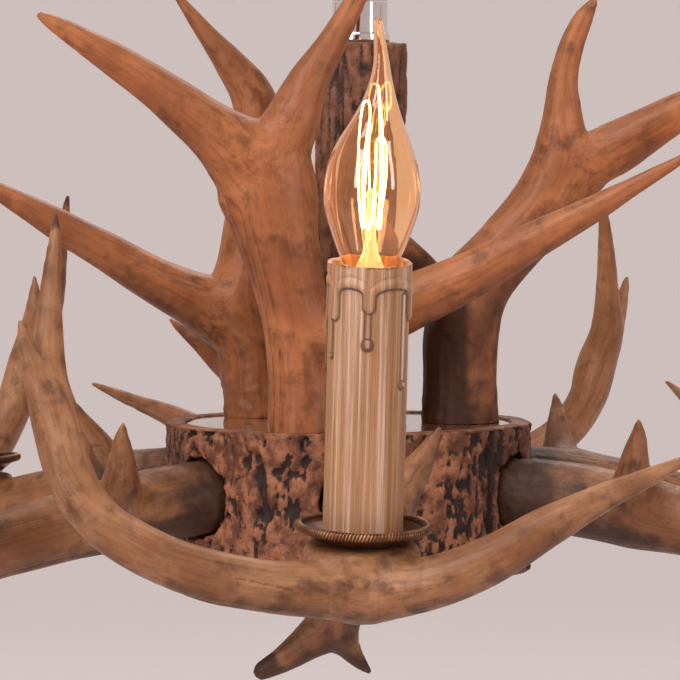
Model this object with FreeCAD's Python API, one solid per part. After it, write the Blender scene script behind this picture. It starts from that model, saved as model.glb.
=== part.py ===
"""Antler chandelier: six candle lights on antler arms around a bark-covered hub.

The model is laid out in millimetres from the centre of the hub's deck, with +Z up and the
viewer on the -Y side. It is then set down so that the hanging eye is the origin.
A place on an arm is (out, side, up): out from the hub's axis, side to the right as seen
from outside, and up from the deck.
"""

import FreeCAD
import Part

import math
import os

from FreeCAD import Placement, Rotation, Vector

CUT_MARGIN = 1.0  # how far a cutting solid passes the face that it opens

# ---- fits ----
GAP = 0.3  # between curved neighbours
SLIP = 0.05  # radial, of a pin in its bore
THREAD_SLIP = 0.07  # radial, of a thread's crest in its mate

# ---- hub ----
HUB_RADIUS = 75.0
HUB_OFFSET = -5.5  # the stump stands off the hanging axis, along X
HUB_WAVE = 1.6
HUB_BOTTOM = -60.0
RIM_HEIGHT = 3.2
DECK_THICKNESS = 3.0
RIM_WIDTH = 9.0
CHAMBER_WALL = 33.0
CHAMBER_RADIUS = HUB_RADIUS - CHAMBER_WALL
CHAMBER_TOP = -12.0
PLATE_LAP = 7.0
PLATE_RADIUS = CHAMBER_RADIUS + PLATE_LAP
PLATE_THICKNESS = 3.0
ARM_SOCKET_RADIUS = 15.6
ARM_SOCKET_DEPTH = 13.0
SOCKET_FLOOR = HUB_RADIUS - ARM_SOCKET_DEPTH  # out from the axis
BARK_POINTS = 48
BARK_WAVES = ((3, 0.6, 0.6), (7, 0.36, 2.0), (11, 0.3, 4.1))  # (number, share, phase)

# ---- central post and rod ----
POST_RADIUS = 19.0
POST_WAVE = 0.9
POST_HEIGHT = 155.0
ROD_RADIUS = 5.0
ROD_BORE = 3.5
ROD_BOTTOM = -67.0
NUT_HEIGHT = 6.0
NUT_RADIUS = 9.0
TERMINAL_OUTER = 24.0
TERMINAL_INNER = 11.0
TERMINAL_HEIGHT = 14.0
TERMINAL_RING = 17.0

# ---- hanger ----
FLANGE_RADIUS = 12.2
FLANGE_HEIGHT = 4.0
FLANGE_ROUNDING = 1.2
COLLAR_RADIUS = 11.2
COLLAR_HEIGHT = 12.2
COLLAR_SEAT = 4.5  # threaded on the rod
COLLAR_LID = 2.8
STUD_RADIUS = 4.0
STUD_BORE = 2.2
STUD_HEAD_RADIUS = 7.2
STUD_HEAD_HEIGHT = 3.9
YOKE_HALF_WIDTH = 11.0
YOKE_WALL = 3.7
YOKE_HALF_DEPTH = 6.0
YOKE_FLOOR = 4.0
PIN_RADIUS = 3.0
PIN_RISE = 12.6  # the pin's axis over the yoke's floor
PIN_HEAD_RADIUS = 4.8
PIN_HEAD_HEIGHT = 2.0
LINK_THICKNESS = 8.0
LINK_LOWER_RADIUS = 7.6
LINK_UPPER_RADIUS = 10.5
LINK_LENGTH = 26.0
EYE_RADIUS = 6.0

# ---- bolts that hold the antlers ----
BOLT_RADIUS = 3.0
BOLT_LENGTH = 34.0
BOLT_HEAD_RADIUS = 5.5
BOLT_HEAD_HEIGHT = 4.0
BOLT_DROP = 7.0  # below the arm's centre line

# ---- lights ----
CANDLE_CIRCLE = 197.0
SEAT_HEIGHT = -28.7
SEAT_RADIUS = 22.0
SEAT_DEPTH = 15.0
SEAT_EDGE = 1.5  # bevel of its upper edge
SEAT_BELLY = 7.0  # depth where it starts to draw in
SEAT_FOOT_RADIUS = 15.0
LEAN_OUT = 5.0
LEAN_SIDE = 1.5
TRAY_RADIUS = 25.0
TRAY_DEPTH = 7.0
TRAY_FLARE = 2.0  # the rim's last turn outward
TRAY_FLARE_HEIGHT = 1.4
TRAY_FLOOR_RADIUS = 17.0
TRAY_WALL = 1.6
SLEEVE_RADIUS = 15.0
SLEEVE_WALL = 2.2
SLEEVE_LENGTH = 100.0
NIPPLE_RADIUS = 4.95
NIPPLE_BORE = 3.3
NIPPLE_DROP = 9.0
NIPPLE_RISE = 24.0
HOLDER_FOOT = 18.0
HOLDER_FOOT_RADIUS = 8.0
HOLDER_NECK_RADIUS = 6.5
HOLDER_SLOPE = 3.0  # height of each change of width
HOLDER_BARREL = 58.0
HOLDER_RADIUS = 11.8
HOLDER_INSET = 3.1  # its top, below the sleeve's
SOCKET_DEPTH = 27.0
CAP_RADIUS = 6.9
CAP_LENGTH = 23.0
CAP_SHOULDER = 1.5
CONTACT_RADIUS = 2.6
CONTACT_LENGTH = 3.4
BULB_RADIUS = 17.5
BULB_WALL = 0.9
BULB_HEIGHT = 91.0
BULB_BORE_END = 0.5  # the least radius of its inside
STEM_HEIGHT = 22.0
STEM_FOOT_RADIUS = 4.4
STEM_RADIUS = 1.7
STEM_NECK = 14.0  # height where the stem has narrowed
FILAMENT_RADIUS = 0.5
FILAMENT_FOOT_RING = 1.2
FILAMENT_DIP = 1.0  # its lower loops, below the stem's top
FILAMENT_TOP = 60.0
FILAMENT_RING = 4.2
FILAMENT_STRANDS = 8
WIRE_RADIUS = 1.5
CHANNEL_RADIUS = 2.4
CORNER_DROP = 18.0  # where the wire turns up, below the seat
WIRE_RISE = -26.0  # where it turns outward over the terminal ring
CHANNEL_MOUTH = -18.0
WIRE_END = 66.0
WIRE_MOUTH = 2.0  # where the wire bends, outside the chamber's wall
MOST_OF_RUN = 0.45  # the share of a straight run that an arc may take

# ---- arms: (name, azimuth, mirrored, turn of the fork, out of the brow tine's tip) ----
ARMS = (
    ("front", 0.0, False, 0.0, 114.0),
    ("right_front", 68.0, True, 13.0, 129.0),
    ("right_back", 121.0, False, 15.0, 116.0),
    ("back", 180.0, False, 2.0, 122.0),
    ("left_back", -120.0, False, -10.0, 120.0),
    ("left_front", -57.0, False, 32.0, 129.0),
)

# ---- antlers ----
RING_STEP = 7.0  # between sections
END_ROUNDING = (0.5, 0.9)  # how far along an end's half ball its two rings stand

# Centre lines of an arm's trunk and tines: (out, side, up, radius)
TRUNK = (
    (SOCKET_FLOOR + GAP, 0, -27.0, 14.6),
    (84, 0, -27.5, 15.0),
    (112, 1, -31, 14.6),
    (150, -1, -38, 13.4),
    (180, 0, -44, 12.6),
    (203, 0, -46, 10.8),
)
CURLED_BRANCH = (
    (199, 9, -46, 7.0),
    (208, -12, -45.5, 10.2),
    (216, -34, -43.5, 9.8),
    (222, -64, -36.5, 9.6),
    (223, -91, -22, 8.9),
    (220, -104, -5, 8.8),
    (215, -109, 12, 8.3),
    (209, -112.5, 28, 6.9),
    (204, -113, 48, 5.5),
    (200, -112, 70, 3.9),
    (196, -110.6, 89, 1.6),
)
CURLED_SPUR = (
    (216, -104, 6, 3.8),
    (216, -113, 23, 5.2),
    (217, -119.5, 39, 3.6),
    (218, -122.5, 52, 1.5),
)
STRAIGHT_BRANCH = (
    (199, -9, -46, 7.0),
    (208, 9, -45.5, 10.0),
    (214, 27, -42, 9.8),
    (217, 45, -34.5, 9.3),
    (216, 67, -22, 7.8),
    (213, 85, -12.6, 5.8),
    (209, 103, -5, 3.9),
    (204, 122, 3.6, 1.5),
)
# The brow tine's places are counted from its tip's out value
BROW_TINE = (
    (-13, 5, -35, 6.5),
    (-8, 14, -21, 8.0),
    (-4, 22, -9, 5.8),
    (-1, 27, 0, 3.6),
    (0, 30, 6, 1.7),
)

# ---- uprights: each tine is a list of (x, y, z, radius, flatness) from the deck ----
UPRIGHT_FRONT = (
    (
        (-22, -52, 0.0, 15.5, 1.0),
        (-23, -52, 18, 14.0, 1.0),
        (-25, -53, 42, 13.6, 0.95),
        (-31, -55, 70, 15.8, 0.85),
        (-37, -57, 96, 20.0, 0.62),
        (-40, -58, 104, 17.0, 0.6),
    ),
    (
        (-33, -57, 92, 7.0, 0.9),
        (-49, -59, 111, 12.6, 0.85),
        (-66, -62, 125, 10.4, 0.9),
        (-83, -66, 138, 8.2, 1.0),
        (-102, -70, 150.5, 6.2, 1.0),
        (-116, -72, 159, 4.3, 1.0),
        (-125, -73, 164, 2.2, 1.0),
    ),
    (
        (-36, -57, 100, 7.0, 0.9),
        (-28, -56, 120, 11.0, 0.9),
        (-21, -54, 138, 8.6, 1.0),
        (-12, -52, 153, 6.6, 1.0),
        (-3, -51, 169, 4.7, 1.0),
        (8, -50, 190, 1.7, 1.0),
    ),
    (
        (-24, -53, 32, 6.5, 1.0),
        (-7, -55, 39, 11.8, 1.0),
        (18, -58, 51, 11.6, 1.0),
        (43, -61, 62.5, 9.8, 1.0),
        (68, -64, 76, 7.8, 1.0),
        (90, -67, 88, 5.8, 1.0),
        (111, -69, 100, 4.0, 1.0),
        (133, -71, 112.5, 1.6, 1.0),
    ),
)
UPRIGHT_LEFT = (
    (
        (-42, 40, 0.0, 14.5, 1.0),
        (-44, 40, 24, 13.4, 1.0),
        (-47, 41, 48, 13.6, 0.95),
        (-45, 42, 76, 12.6, 0.9),
        (-41, 43, 104, 11.8, 0.9),
        (-43.5, 43, 130, 10.0, 1.0),
        (-54, 42, 147, 7.2, 1.0),
        (-65, 41, 161, 4.5, 1.0),
        (-78, 40, 178, 1.6, 1.0),
    ),
    (
        (-43, 41, 33, 6.5, 1.0),
        (-55, 40, 40, 11.6, 1.0),
        (-69, 37, 48.5, 11.2, 1.0),
        (-87, 33, 58, 9.8, 1.0),
        (-106, 29, 69.5, 8.5, 1.0),
        (-129, 25, 82.5, 6.6, 1.0),
        (-149, 22, 94, 4.4, 1.0),
        (-166, 20, 103, 1.7, 1.0),
    ),
    (
        (-45, 43, 13, 4.5, 1.0),
        (-56, 52, 21, 6.0, 1.0),
        (-68, 60, 30, 4.2, 1.0),
        (-80, 66, 39, 1.6, 1.0),
    ),
)
UPRIGHT_RIGHT = (
    (
        (41, 4, 0.0, 16.0, 1.0),
        (41, 4, 16, 15.4, 1.0),
        (41.5, 4, 36, 15.4, 0.95),
        (46, 5, 54, 15.2, 0.95),
        (60, 6, 71, 13.6, 0.95),
        (75, 7, 88, 14.4, 0.8),
        (85, 8, 100, 14.0, 0.68),
    ),
    (
        (76, 7, 92, 5.5, 0.9),
        (81, 7, 109, 9.6, 0.9),
        (82.5, 6, 125, 8.4, 1.0),
        (83, 5, 140, 6.6, 1.0),
        (86, 4, 153, 5.6, 1.0),
        (91, 3, 165, 4.4, 1.0),
        (95, 2, 171.5, 2.4, 1.0),
    ),
    (
        (83, 8, 100, 6.0, 0.9),
        (101, 9, 110, 10.6, 0.9),
        (116, 9, 118.4, 9.7, 1.0),
        (131, 8, 127, 8.0, 1.0),
        (150, 6, 137, 5.2, 1.0),
        (171, 4, 148, 1.8, 1.0),
    ),
    (
        (42, 2, 36, 5.5, 1.0),
        (33, -14, 51, 8.0, 1.0),
        (24, -26, 65, 6.2, 1.0),
        (12, -32, 79, 4.2, 1.0),
        (0, -36, 92, 1.7, 1.0),
    ),
)
FINIAL = (
    (
        (0, 0, HUB_BOTTOM, 13.0, 1.0),
        (-3, 0, -67, 11.8, 1.0),
        (-9, -1, -76, 10.0, 1.0),
        (-17, -3, -86, 8.4, 1.0),
        (-29, -5, -95, 6.2, 1.0),
        (-40, -7, -101, 4.2, 1.0),
    ),
    (
        (-7, -1, -74, 4.5, 1.0),
        (-8, 0, -85, 6.4, 1.0),
        (-3, 2, -95, 4.4, 1.0),
        (4, 4, -103, 1.7, 1.0),
    ),
)

# ---- heights that follow ----
PLATE_TOP = HUB_BOTTOM + PLATE_THICKNESS
COLLAR_BOTTOM = POST_HEIGHT + FLANGE_HEIGHT
COLLAR_TOP = COLLAR_BOTTOM + COLLAR_HEIGHT
ROD_TOP = COLLAR_BOTTOM + COLLAR_SEAT
YOKE_BOTTOM = COLLAR_TOP + GAP
PIN_HEIGHT = YOKE_BOTTOM + YOKE_FLOOR + PIN_RISE
EYE_HEIGHT = PIN_HEIGHT + LINK_LENGTH
SLEEVE_TOP = TRAY_WALL + SLEEVE_LENGTH
HOLDER_TOP = SLEEVE_TOP - HOLDER_INSET
CAP_BOTTOM = HOLDER_TOP - CAP_LENGTH
BUTT_HEIGHT = TRUNK[0][2]
BOLT_SEAT_RADIUS = math.sqrt(CHAMBER_RADIUS**2 - BOLT_HEAD_RADIUS**2) - GAP
Z = Vector(0, 0, 1)


def save(name, shape):
    """Writes one piece, with the hanging eye as the origin."""
    shape = shape.copy()
    shape.translate(Vector(0, 0, -EYE_HEIGHT))
    if not shape.isValid():
        print("not valid:", name)
    shape.exportStep(f"parts/{name}.step")


def disc(radius, bottom, top, at=(0, 0)):
    return Part.makeCylinder(radius, top - bottom, Vector(at[0], at[1], bottom))


def turned(profile):
    """A solid turned about Z from straight (radius, height) points."""
    corners = [Vector(radius, 0, height) for radius, height in profile]
    wire = Part.makePolygon(corners + corners[:1])
    return Part.Face(wire).revolve(Vector(), Z, 360)


def rod_between(start, end, radius):
    return Part.makeCylinder(radius, (end - start).Length, start, end - start)


# ---- antlers ----


def directions(points):
    """The way the centre line runs at each point."""
    last = len(points) - 1
    found = []
    for i in range(last + 1):
        step = points[min(i + 1, last)] - points[max(i - 1, 0)]
        found.append(step.normalize())
    return found


def ring(centre, direction, across, radius, flatness):
    """A closed section, round or flattened, square to the direction."""
    section = Part.Circle(centre, direction, radius)
    if flatness < 1:
        long_end = centre + across * radius
        short_end = centre + direction.cross(across) * radius * flatness
        section = Part.Ellipse(long_end, short_end, centre)
    else:
        section.XAxis = across
    return Part.Wire(section.toShape())


def rounding(centre, run, across, radius, shares):
    """Rings that close a horn's end like half a ball."""
    rings = []
    for share in shares:
        size = radius * math.sqrt(1 - share**2)
        rings.append(ring(centre + run * radius * share, run, across, size, 1))
    return rings


def between(before, start, end, after, share):
    """A place on the smooth line from start to end, which heads on towards after."""
    place = []
    for a, b, c, d in zip(before, start, end, after):
        bend = 2 * a - 5 * b + 4 * c - d + share * (3 * (b - c) + d - a)
        place.append(b + 0.5 * share * (c - a + share * bend))
    return place


def refined(places):
    """More places along the smooth line through the given ones."""
    last = len(places) - 1
    fine = []
    for i in range(last):
        start, end = places[i], places[i + 1]
        before, after = places[max(i - 1, 0)], places[min(i + 2, last)]
        steps = max(1, round(math.dist(start[:3], end[:3]) / RING_STEP))
        fine += [between(before, start, end, after, k / steps) for k in range(steps)]
    return fine + [places[last]]


def tine(places, flat_butt=False):
    """A tapering horn through (x, y, z, radius, flatness), with a rounded tip."""
    places = refined(places)
    points = [Vector(*place[:3]) for place in places]
    runs = directions(points)
    across = Vector(1, 0, 0)
    rings = []
    for point, run, place in zip(points, runs, places):
        across = (across - run * across.dot(run)).normalize()
        rings.append(ring(point, run, across, place[3], place[4]))
    if not flat_butt:
        first_across = (Vector(1, 0, 0) - runs[0] * runs[0].x).normalize()
        inward = [-share for share in reversed(END_ROUNDING)]
        rings = rounding(points[0], runs[0], first_across, places[0][3], inward) + rings
    rings += rounding(points[-1], runs[-1], across, places[-1][3], END_ROUNDING)
    return Part.makeLoft(rings, True, True)


def antler(tines):
    """A trunk with its butt sawn flat, and the tines that grow from it, as one horn."""
    horn = tine(tines[0], flat_butt=True)
    for places in tines[1:]:
        horn = horn.fuse(tine(places))
    return horn


# ---- arms ----


def arm_point(out, side, up):
    return Vector(side, -out, up)


def about_hub(azimuth):
    return Placement(Vector(), Rotation(Z, azimuth))


def light_frame(azimuth, mirrored):
    """Where a light's own axes stand: the seat's centre, leaning out and to one side."""
    side = -LEAN_SIDE if mirrored else LEAN_SIDE
    lean = Rotation(Vector(1, 0, 0), LEAN_OUT).multiply(Rotation(Vector(0, 1, 0), side))
    seat = Placement(arm_point(CANDLE_CIRCLE, 0, SEAT_HEIGHT), lean)
    return about_hub(azimuth).multiply(seat)


def turn_fork(places, turn):
    """The branches turn together about the candle's foot."""
    cos, sin = math.cos(math.radians(turn)), math.sin(math.radians(turn))
    turned_places = []
    for out, side, up, radius in places:
        reach = out - CANDLE_CIRCLE
        new_out = CANDLE_CIRCLE + reach * cos + side * sin
        turned_places.append((new_out, side * cos - reach * sin, up, radius))
    return turned_places


def arm_antler(mirrored, turn, brow_out):
    hand = -1 if mirrored else 1
    fork = [CURLED_BRANCH, CURLED_SPUR, STRAIGHT_BRANCH]
    brow = [(brow_out + out, side, up, radius) for out, side, up, radius in BROW_TINE]
    fork = [[(o, hand * s, u, r) for o, s, u, r in places] for places in fork]
    fork = [turn_fork(places, turn) for places in fork]
    tines = [TRUNK, [(o, hand * s, u, r) for o, s, u, r in brow]] + fork
    return antler([[(s, -o, u, r, 1) for o, s, u, r in places] for places in tines])


def smooth_route(points, rooms):
    """Straight runs joined by arcs, each as large as its two runs and its room allow."""
    edges = []
    start = points[0]
    for before, corner, after, room in zip(points, points[1:], points[2:], rooms):
        into, out_of = corner - before, after - corner
        half_turn = into.getAngle(out_of) / 2
        tangent = min(MOST_OF_RUN * into.Length, MOST_OF_RUN * out_of.Length, room)
        radius = tangent / math.tan(half_turn)
        into, out_of = into.normalize(), out_of.normalize()
        enter, leave = corner - into * tangent, corner + out_of * tangent
        inward = (out_of - into).normalize()
        middle = corner + inward * (radius / math.cos(half_turn) - radius)
        edges.append(Part.LineSegment(start, enter).toShape())
        edges.append(Part.Arc(enter, middle, leave).toShape())
        start = leave
    edges.append(Part.LineSegment(start, points[-1]).toShape())
    return Part.Wire(edges)


def tube_along(route, radius):
    first = route.OrderedEdges[0]
    start = first.valueAt(first.FirstParameter)
    run = first.tangentAt(first.FirstParameter)
    section = Part.Wire(Part.Circle(start, run, radius).toShape())
    return route.makePipeShell([section], True, False)


def wire_route(azimuth, mirrored):
    """From the terminal ring through the arm and up the nipple into the lampholder."""
    place = about_hub(azimuth)
    light = light_frame(azimuth, mirrored)
    points = [
        place.multVec(arm_point(TERMINAL_RING, 0, PLATE_TOP + TERMINAL_HEIGHT)),
        place.multVec(arm_point(TERMINAL_RING, 0, WIRE_RISE)),
        place.multVec(arm_point(CHAMBER_RADIUS + WIRE_MOUTH, 0, CHANNEL_MOUTH)),
        light.multVec(Vector(0, 0, -CORNER_DROP)),
        light.multVec(Vector(0, 0, WIRE_END)),
    ]
    below_nipple = CORNER_DROP - NIPPLE_DROP - GAP
    return smooth_route(points, (HUB_RADIUS, HUB_RADIUS, below_nipple))


def bolt(place):
    """A bolt along -Y of its own frame: the head at the origin, the shank outward."""
    shank = Part.makeCylinder(BOLT_RADIUS, BOLT_LENGTH, Vector(), Vector(0, -1, 0))
    head = Part.makeCylinder(BOLT_HEAD_RADIUS, BOLT_HEAD_HEIGHT, Vector(), Vector(0, 1, 0))
    solid = shank.fuse(head).removeSplitter()
    solid.Placement = place
    return solid


def bolt_hole(place):
    depth = BOLT_LENGTH + CUT_MARGIN
    hole = Part.makeCylinder(BOLT_RADIUS + SLIP, depth, Vector(), Vector(0, -1, 0))
    hole.Placement = place
    return hole


def wavy_face(radius, wave, height, at_x=0.0):
    """A bark-like round outline: slow waves on a circle."""
    points = []
    for i in range(BARK_POINTS):
        angle = 2 * math.pi * i / BARK_POINTS
        ripple = sum(share * math.sin(n * angle + phase) for n, share, phase in BARK_WAVES)
        reach = radius + wave * ripple
        points.append(Vector(at_x + reach * math.cos(angle), reach * math.sin(angle), height))
    curve = Part.BSplineCurve()
    curve.interpolate(points, PeriodicFlag=True)
    return Part.Face(Part.Wire(curve.toShape()))


def wavy_column(radius, wave, bottom, top, at_x=0.0):
    return wavy_face(radius, wave, bottom, at_x).extrude(Vector(0, 0, top - bottom))


os.makedirs("parts", exist_ok=True)

# ---- where the bolts stand ----
ARM_BOLTS = []
for _, azimuth, _, _, _ in ARMS:
    chamber_wall = arm_point(BOLT_SEAT_RADIUS, 0, BUTT_HEIGHT - BOLT_DROP)
    ARM_BOLTS.append(about_hub(azimuth).multiply(Placement(chamber_wall, Rotation())))
UPRIGHTS = (
    ("front", UPRIGHT_FRONT),
    ("left", UPRIGHT_LEFT),
    ("right", UPRIGHT_RIGHT),
)
# A bolt's -Y turned to +Z: from under the deck up into the upright
UP = Rotation(Vector(1, 0, 0), -90)
UPRIGHT_BOLTS = []
foot_pockets = []
rim_top = RIM_HEIGHT + CUT_MARGIN
for _, tines in UPRIGHTS:
    foot_x, foot_y, _, foot_radius, _ = tines[0][0]
    UPRIGHT_BOLTS.append(Placement(Vector(foot_x, foot_y, -DECK_THICKNESS), UP))
    # In the stump: room for the bolt's head, and for the foot where it reaches the rim
    head_bottom = -DECK_THICKNESS - BOLT_HEAD_HEIGHT - GAP
    head_room = BOLT_HEAD_RADIUS + GAP
    foot_pockets.append(disc(head_room, head_bottom, -DECK_THICKNESS, (foot_x, foot_y)))
    foot_pockets.append(disc(foot_radius + GAP, 0, rim_top, (foot_x, foot_y)))

# ---- arms, each with its nipple hole, wire channel and bolt hole ----
conduits = []
for (name, azimuth, mirrored, turn, brow_out), arm_bolt in zip(ARMS, ARM_BOLTS):
    light = light_frame(azimuth, mirrored)
    arm = arm_antler(mirrored, turn, brow_out)
    arm.Placement = about_hub(azimuth)
    seat = turned(
        [
            (0, -SEAT_DEPTH),
            (SEAT_FOOT_RADIUS, -SEAT_DEPTH),
            (SEAT_RADIUS, -SEAT_BELLY),
            (SEAT_RADIUS, -SEAT_EDGE),
            (SEAT_RADIUS - SEAT_EDGE, 0),
            (0, 0),
        ]
    )
    seat.Placement = light
    above_seat = disc(TRAY_RADIUS + CUT_MARGIN, 0, TRAY_RADIUS)
    above_seat.Placement = light
    nipple_hole = disc(NIPPLE_RADIUS + SLIP, -NIPPLE_DROP - GAP, CUT_MARGIN)
    nipple_hole.Placement = light
    conduit = tube_along(wire_route(azimuth, mirrored), CHANNEL_RADIUS)
    conduits.append(conduit)
    arm = arm.fuse(seat).cut([above_seat, nipple_hole, conduit, bolt_hole(arm_bolt)])
    save(f"arm_antler_{name}", arm)

# ---- uprights and finial ----
for (name, tines), upright_bolt in zip(UPRIGHTS, UPRIGHT_BOLTS):
    horn = antler(tines).cut([disc(HUB_RADIUS, HUB_BOTTOM, 0), bolt_hole(upright_bolt)])
    save(f"upright_antler_{name}", horn)
finial = antler(FINIAL).cut(disc(HUB_RADIUS, HUB_BOTTOM, 0))
finial = finial.cut(disc(ROD_RADIUS + SLIP, ROD_BOTTOM - GAP, HUB_BOTTOM))
save("finial_antler", finial)

# ---- hub: bark stump, recessed deck, bottom plate ----
rod_hole = disc(ROD_RADIUS + SLIP, ROD_BOTTOM, ROD_TOP)
stump = wavy_column(HUB_RADIUS, HUB_WAVE, HUB_BOTTOM, RIM_HEIGHT, HUB_OFFSET)
recess_radius = HUB_RADIUS - RIM_WIDTH
recess = wavy_column(recess_radius, HUB_WAVE, -DECK_THICKNESS, rim_top, HUB_OFFSET)
chamber = disc(CHAMBER_RADIUS, HUB_BOTTOM, CHAMBER_TOP)
plate_seat = disc(PLATE_RADIUS + GAP, HUB_BOTTOM - CUT_MARGIN, PLATE_TOP)
cuts = [recess, chamber, plate_seat, rod_hole] + conduits + foot_pockets
for _, azimuth, _, _, _ in ARMS:
    start = about_hub(azimuth).multVec(arm_point(SOCKET_FLOOR, 0, BUTT_HEIGHT))
    end = about_hub(azimuth).multVec(arm_point(HUB_RADIUS + RIM_WIDTH, 0, BUTT_HEIGHT))
    cuts.append(rod_between(start, end, ARM_SOCKET_RADIUS))
cuts += [bolt_hole(place) for place in ARM_BOLTS]
save("hub_stump", stump.cut(cuts))
deck = wavy_column(recess_radius - GAP, HUB_WAVE, -DECK_THICKNESS, 0, HUB_OFFSET)
save("hub_deck", deck.cut([rod_hole] + [bolt_hole(place) for place in UPRIGHT_BOLTS]))
save("hub_bottom_plate", disc(PLATE_RADIUS, HUB_BOTTOM, PLATE_TOP).cut(rod_hole))

# ---- bolts, one per antler that stands on the hub ----
save("antler_bolts", Part.makeCompound([bolt(place) for place in ARM_BOLTS + UPRIGHT_BOLTS]))

# ---- post, hollow rod and nuts ----
post = wavy_column(POST_RADIUS, POST_WAVE, 0, POST_HEIGHT)
save("bark_post", post.cut(rod_hole))
rod = disc(ROD_RADIUS, ROD_BOTTOM, ROD_TOP).cut(disc(ROD_BORE, ROD_BOTTOM, ROD_TOP))
save("hanging_rod", rod)
nuts = []
for bottom in (CHAMBER_TOP - NUT_HEIGHT, PLATE_TOP):
    corners = [Vector(NUT_RADIUS, 0, bottom)]
    for i in range(1, 7):
        corners.append(Rotation(Z, 60 * i).multVec(corners[0]))
    nut = Part.Face(Part.makePolygon(corners)).extrude(Vector(0, 0, NUT_HEIGHT))
    nuts.append(nut.cut(rod_hole))
save("rod_nuts", Part.makeCompound(nuts))

# ---- terminal ring and the six wires ----
terminal_top = PLATE_TOP + TERMINAL_HEIGHT
terminal = disc(TERMINAL_OUTER, PLATE_TOP, terminal_top)
terminal = terminal.cut(disc(TERMINAL_INNER, PLATE_TOP, terminal_top))
save("terminal_ring", terminal)
wires = [tube_along(wire_route(azimuth, m), WIRE_RADIUS) for _, azimuth, m, _, _ in ARMS]
for (name, azimuth, mirrored, _, _), wire in zip(ARMS, wires):
    route = wire_route(azimuth, mirrored)
    expected = math.pi * WIRE_RADIUS**2 * route.Length
    print("wire", name, round(route.Length), "mm, volume share", round(wire.Volume / expected, 3))
save("light_wires", Part.makeCompound(wires))

# ---- hanger: flange, collar, swivel stud, yoke, pin and link ----
flange = disc(FLANGE_RADIUS, POST_HEIGHT, COLLAR_BOTTOM)
flange = flange.makeFillet(FLANGE_ROUNDING, [e for e in flange.Edges if e.Closed])
save("top_flange", flange.cut(rod_hole))
lid_bottom = COLLAR_TOP - COLLAR_LID
cavity = disc(STUD_HEAD_RADIUS + GAP, ROD_TOP, lid_bottom)
collar = disc(COLLAR_RADIUS, COLLAR_BOTTOM, COLLAR_TOP)
stud_hole = disc(STUD_RADIUS + SLIP, lid_bottom, COLLAR_TOP)
save("swivel_collar", collar.cut([rod_hole, cavity, stud_hole]))
head_top = lid_bottom - GAP
stud = disc(STUD_HEAD_RADIUS, head_top - STUD_HEAD_HEIGHT, head_top)
yoke_floor_top = YOKE_BOTTOM + YOKE_FLOOR
stud = stud.fuse(disc(STUD_RADIUS, head_top, yoke_floor_top)).removeSplitter()
stud = stud.cut(disc(STUD_BORE, head_top - STUD_HEAD_HEIGHT, yoke_floor_top))
save("swivel_stud", stud)
ear_height = PIN_HEIGHT - YOKE_BOTTOM
yoke_corner = Vector(-YOKE_HALF_WIDTH, -YOKE_HALF_DEPTH, YOKE_BOTTOM)
yoke = Part.makeBox(2 * YOKE_HALF_WIDTH, 2 * YOKE_HALF_DEPTH, ear_height, yoke_corner)
X = Vector(1, 0, 0)
ear_end = Vector(-YOKE_HALF_WIDTH, 0, PIN_HEIGHT)
yoke = yoke.fuse(Part.makeCylinder(YOKE_HALF_DEPTH, 2 * YOKE_HALF_WIDTH, ear_end, X))
inside = YOKE_HALF_WIDTH - YOKE_WALL
mouth_corner = Vector(-inside, -YOKE_HALF_DEPTH, yoke_floor_top)
mouth = Part.makeBox(2 * inside, 2 * YOKE_HALF_DEPTH, 2 * PIN_RISE, mouth_corner)
pin_hole = Part.makeCylinder(PIN_RADIUS + SLIP, 2 * YOKE_HALF_WIDTH, ear_end, X)
yoke = yoke.cut([mouth, pin_hole, disc(STUD_RADIUS + SLIP, YOKE_BOTTOM, yoke_floor_top)])
save("hanger_yoke", yoke)
pin = Part.makeCylinder(PIN_RADIUS, 2 * YOKE_HALF_WIDTH, ear_end, X)
for end, way in ((YOKE_HALF_WIDTH, X), (-YOKE_HALF_WIDTH, -X)):
    head_at = Vector(end, 0, PIN_HEIGHT)
    pin = pin.fuse(Part.makeCylinder(PIN_HEAD_RADIUS, PIN_HEAD_HEIGHT, head_at, way))
save("yoke_pin", pin.removeSplitter())
half = LINK_THICKNESS / 2
Y = Vector(0, 1, 0)
lower_eye = Part.makeCylinder(LINK_LOWER_RADIUS, 2 * half, Vector(-half, 0, PIN_HEIGHT), X)
upper_eye = Part.makeCylinder(LINK_UPPER_RADIUS, 2 * half, Vector(0, -half, EYE_HEIGHT), Y)
neck = Part.makeBox(2 * half, 2 * half, LINK_LENGTH, Vector(-half, -half, PIN_HEIGHT))
link_holes = [
    Part.makeCylinder(PIN_RADIUS + SLIP, 4 * half, Vector(-2 * half, 0, PIN_HEIGHT), X),
    Part.makeCylinder(EYE_RADIUS, 4 * half, Vector(0, -2 * half, EYE_HEIGHT), Y),
]
save("hanging_link", lower_eye.fuse([upper_eye, neck]).cut(link_holes))

# ---- one light, in its own frame: the seat's centre is the origin ----
flare_radius = TRAY_RADIUS - TRAY_FLARE
flare_top = TRAY_DEPTH - TRAY_FLARE_HEIGHT
tray = turned(
    [
        (NIPPLE_RADIUS + SLIP, 0),
        (TRAY_FLOOR_RADIUS, 0),
        (flare_radius, flare_top - TRAY_WALL),
        (TRAY_RADIUS, TRAY_DEPTH - TRAY_WALL),
        (TRAY_RADIUS, TRAY_DEPTH),
        (TRAY_RADIUS - TRAY_WALL, TRAY_DEPTH),
        (flare_radius - TRAY_WALL, flare_top),
        (TRAY_FLOOR_RADIUS - TRAY_WALL, TRAY_WALL),
        (NIPPLE_RADIUS + SLIP, TRAY_WALL),
    ]
)
sleeve = disc(SLEEVE_RADIUS, TRAY_WALL, SLEEVE_TOP)
sleeve = sleeve.cut(disc(SLEEVE_RADIUS - SLEEVE_WALL, TRAY_WALL, SLEEVE_TOP))
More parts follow.
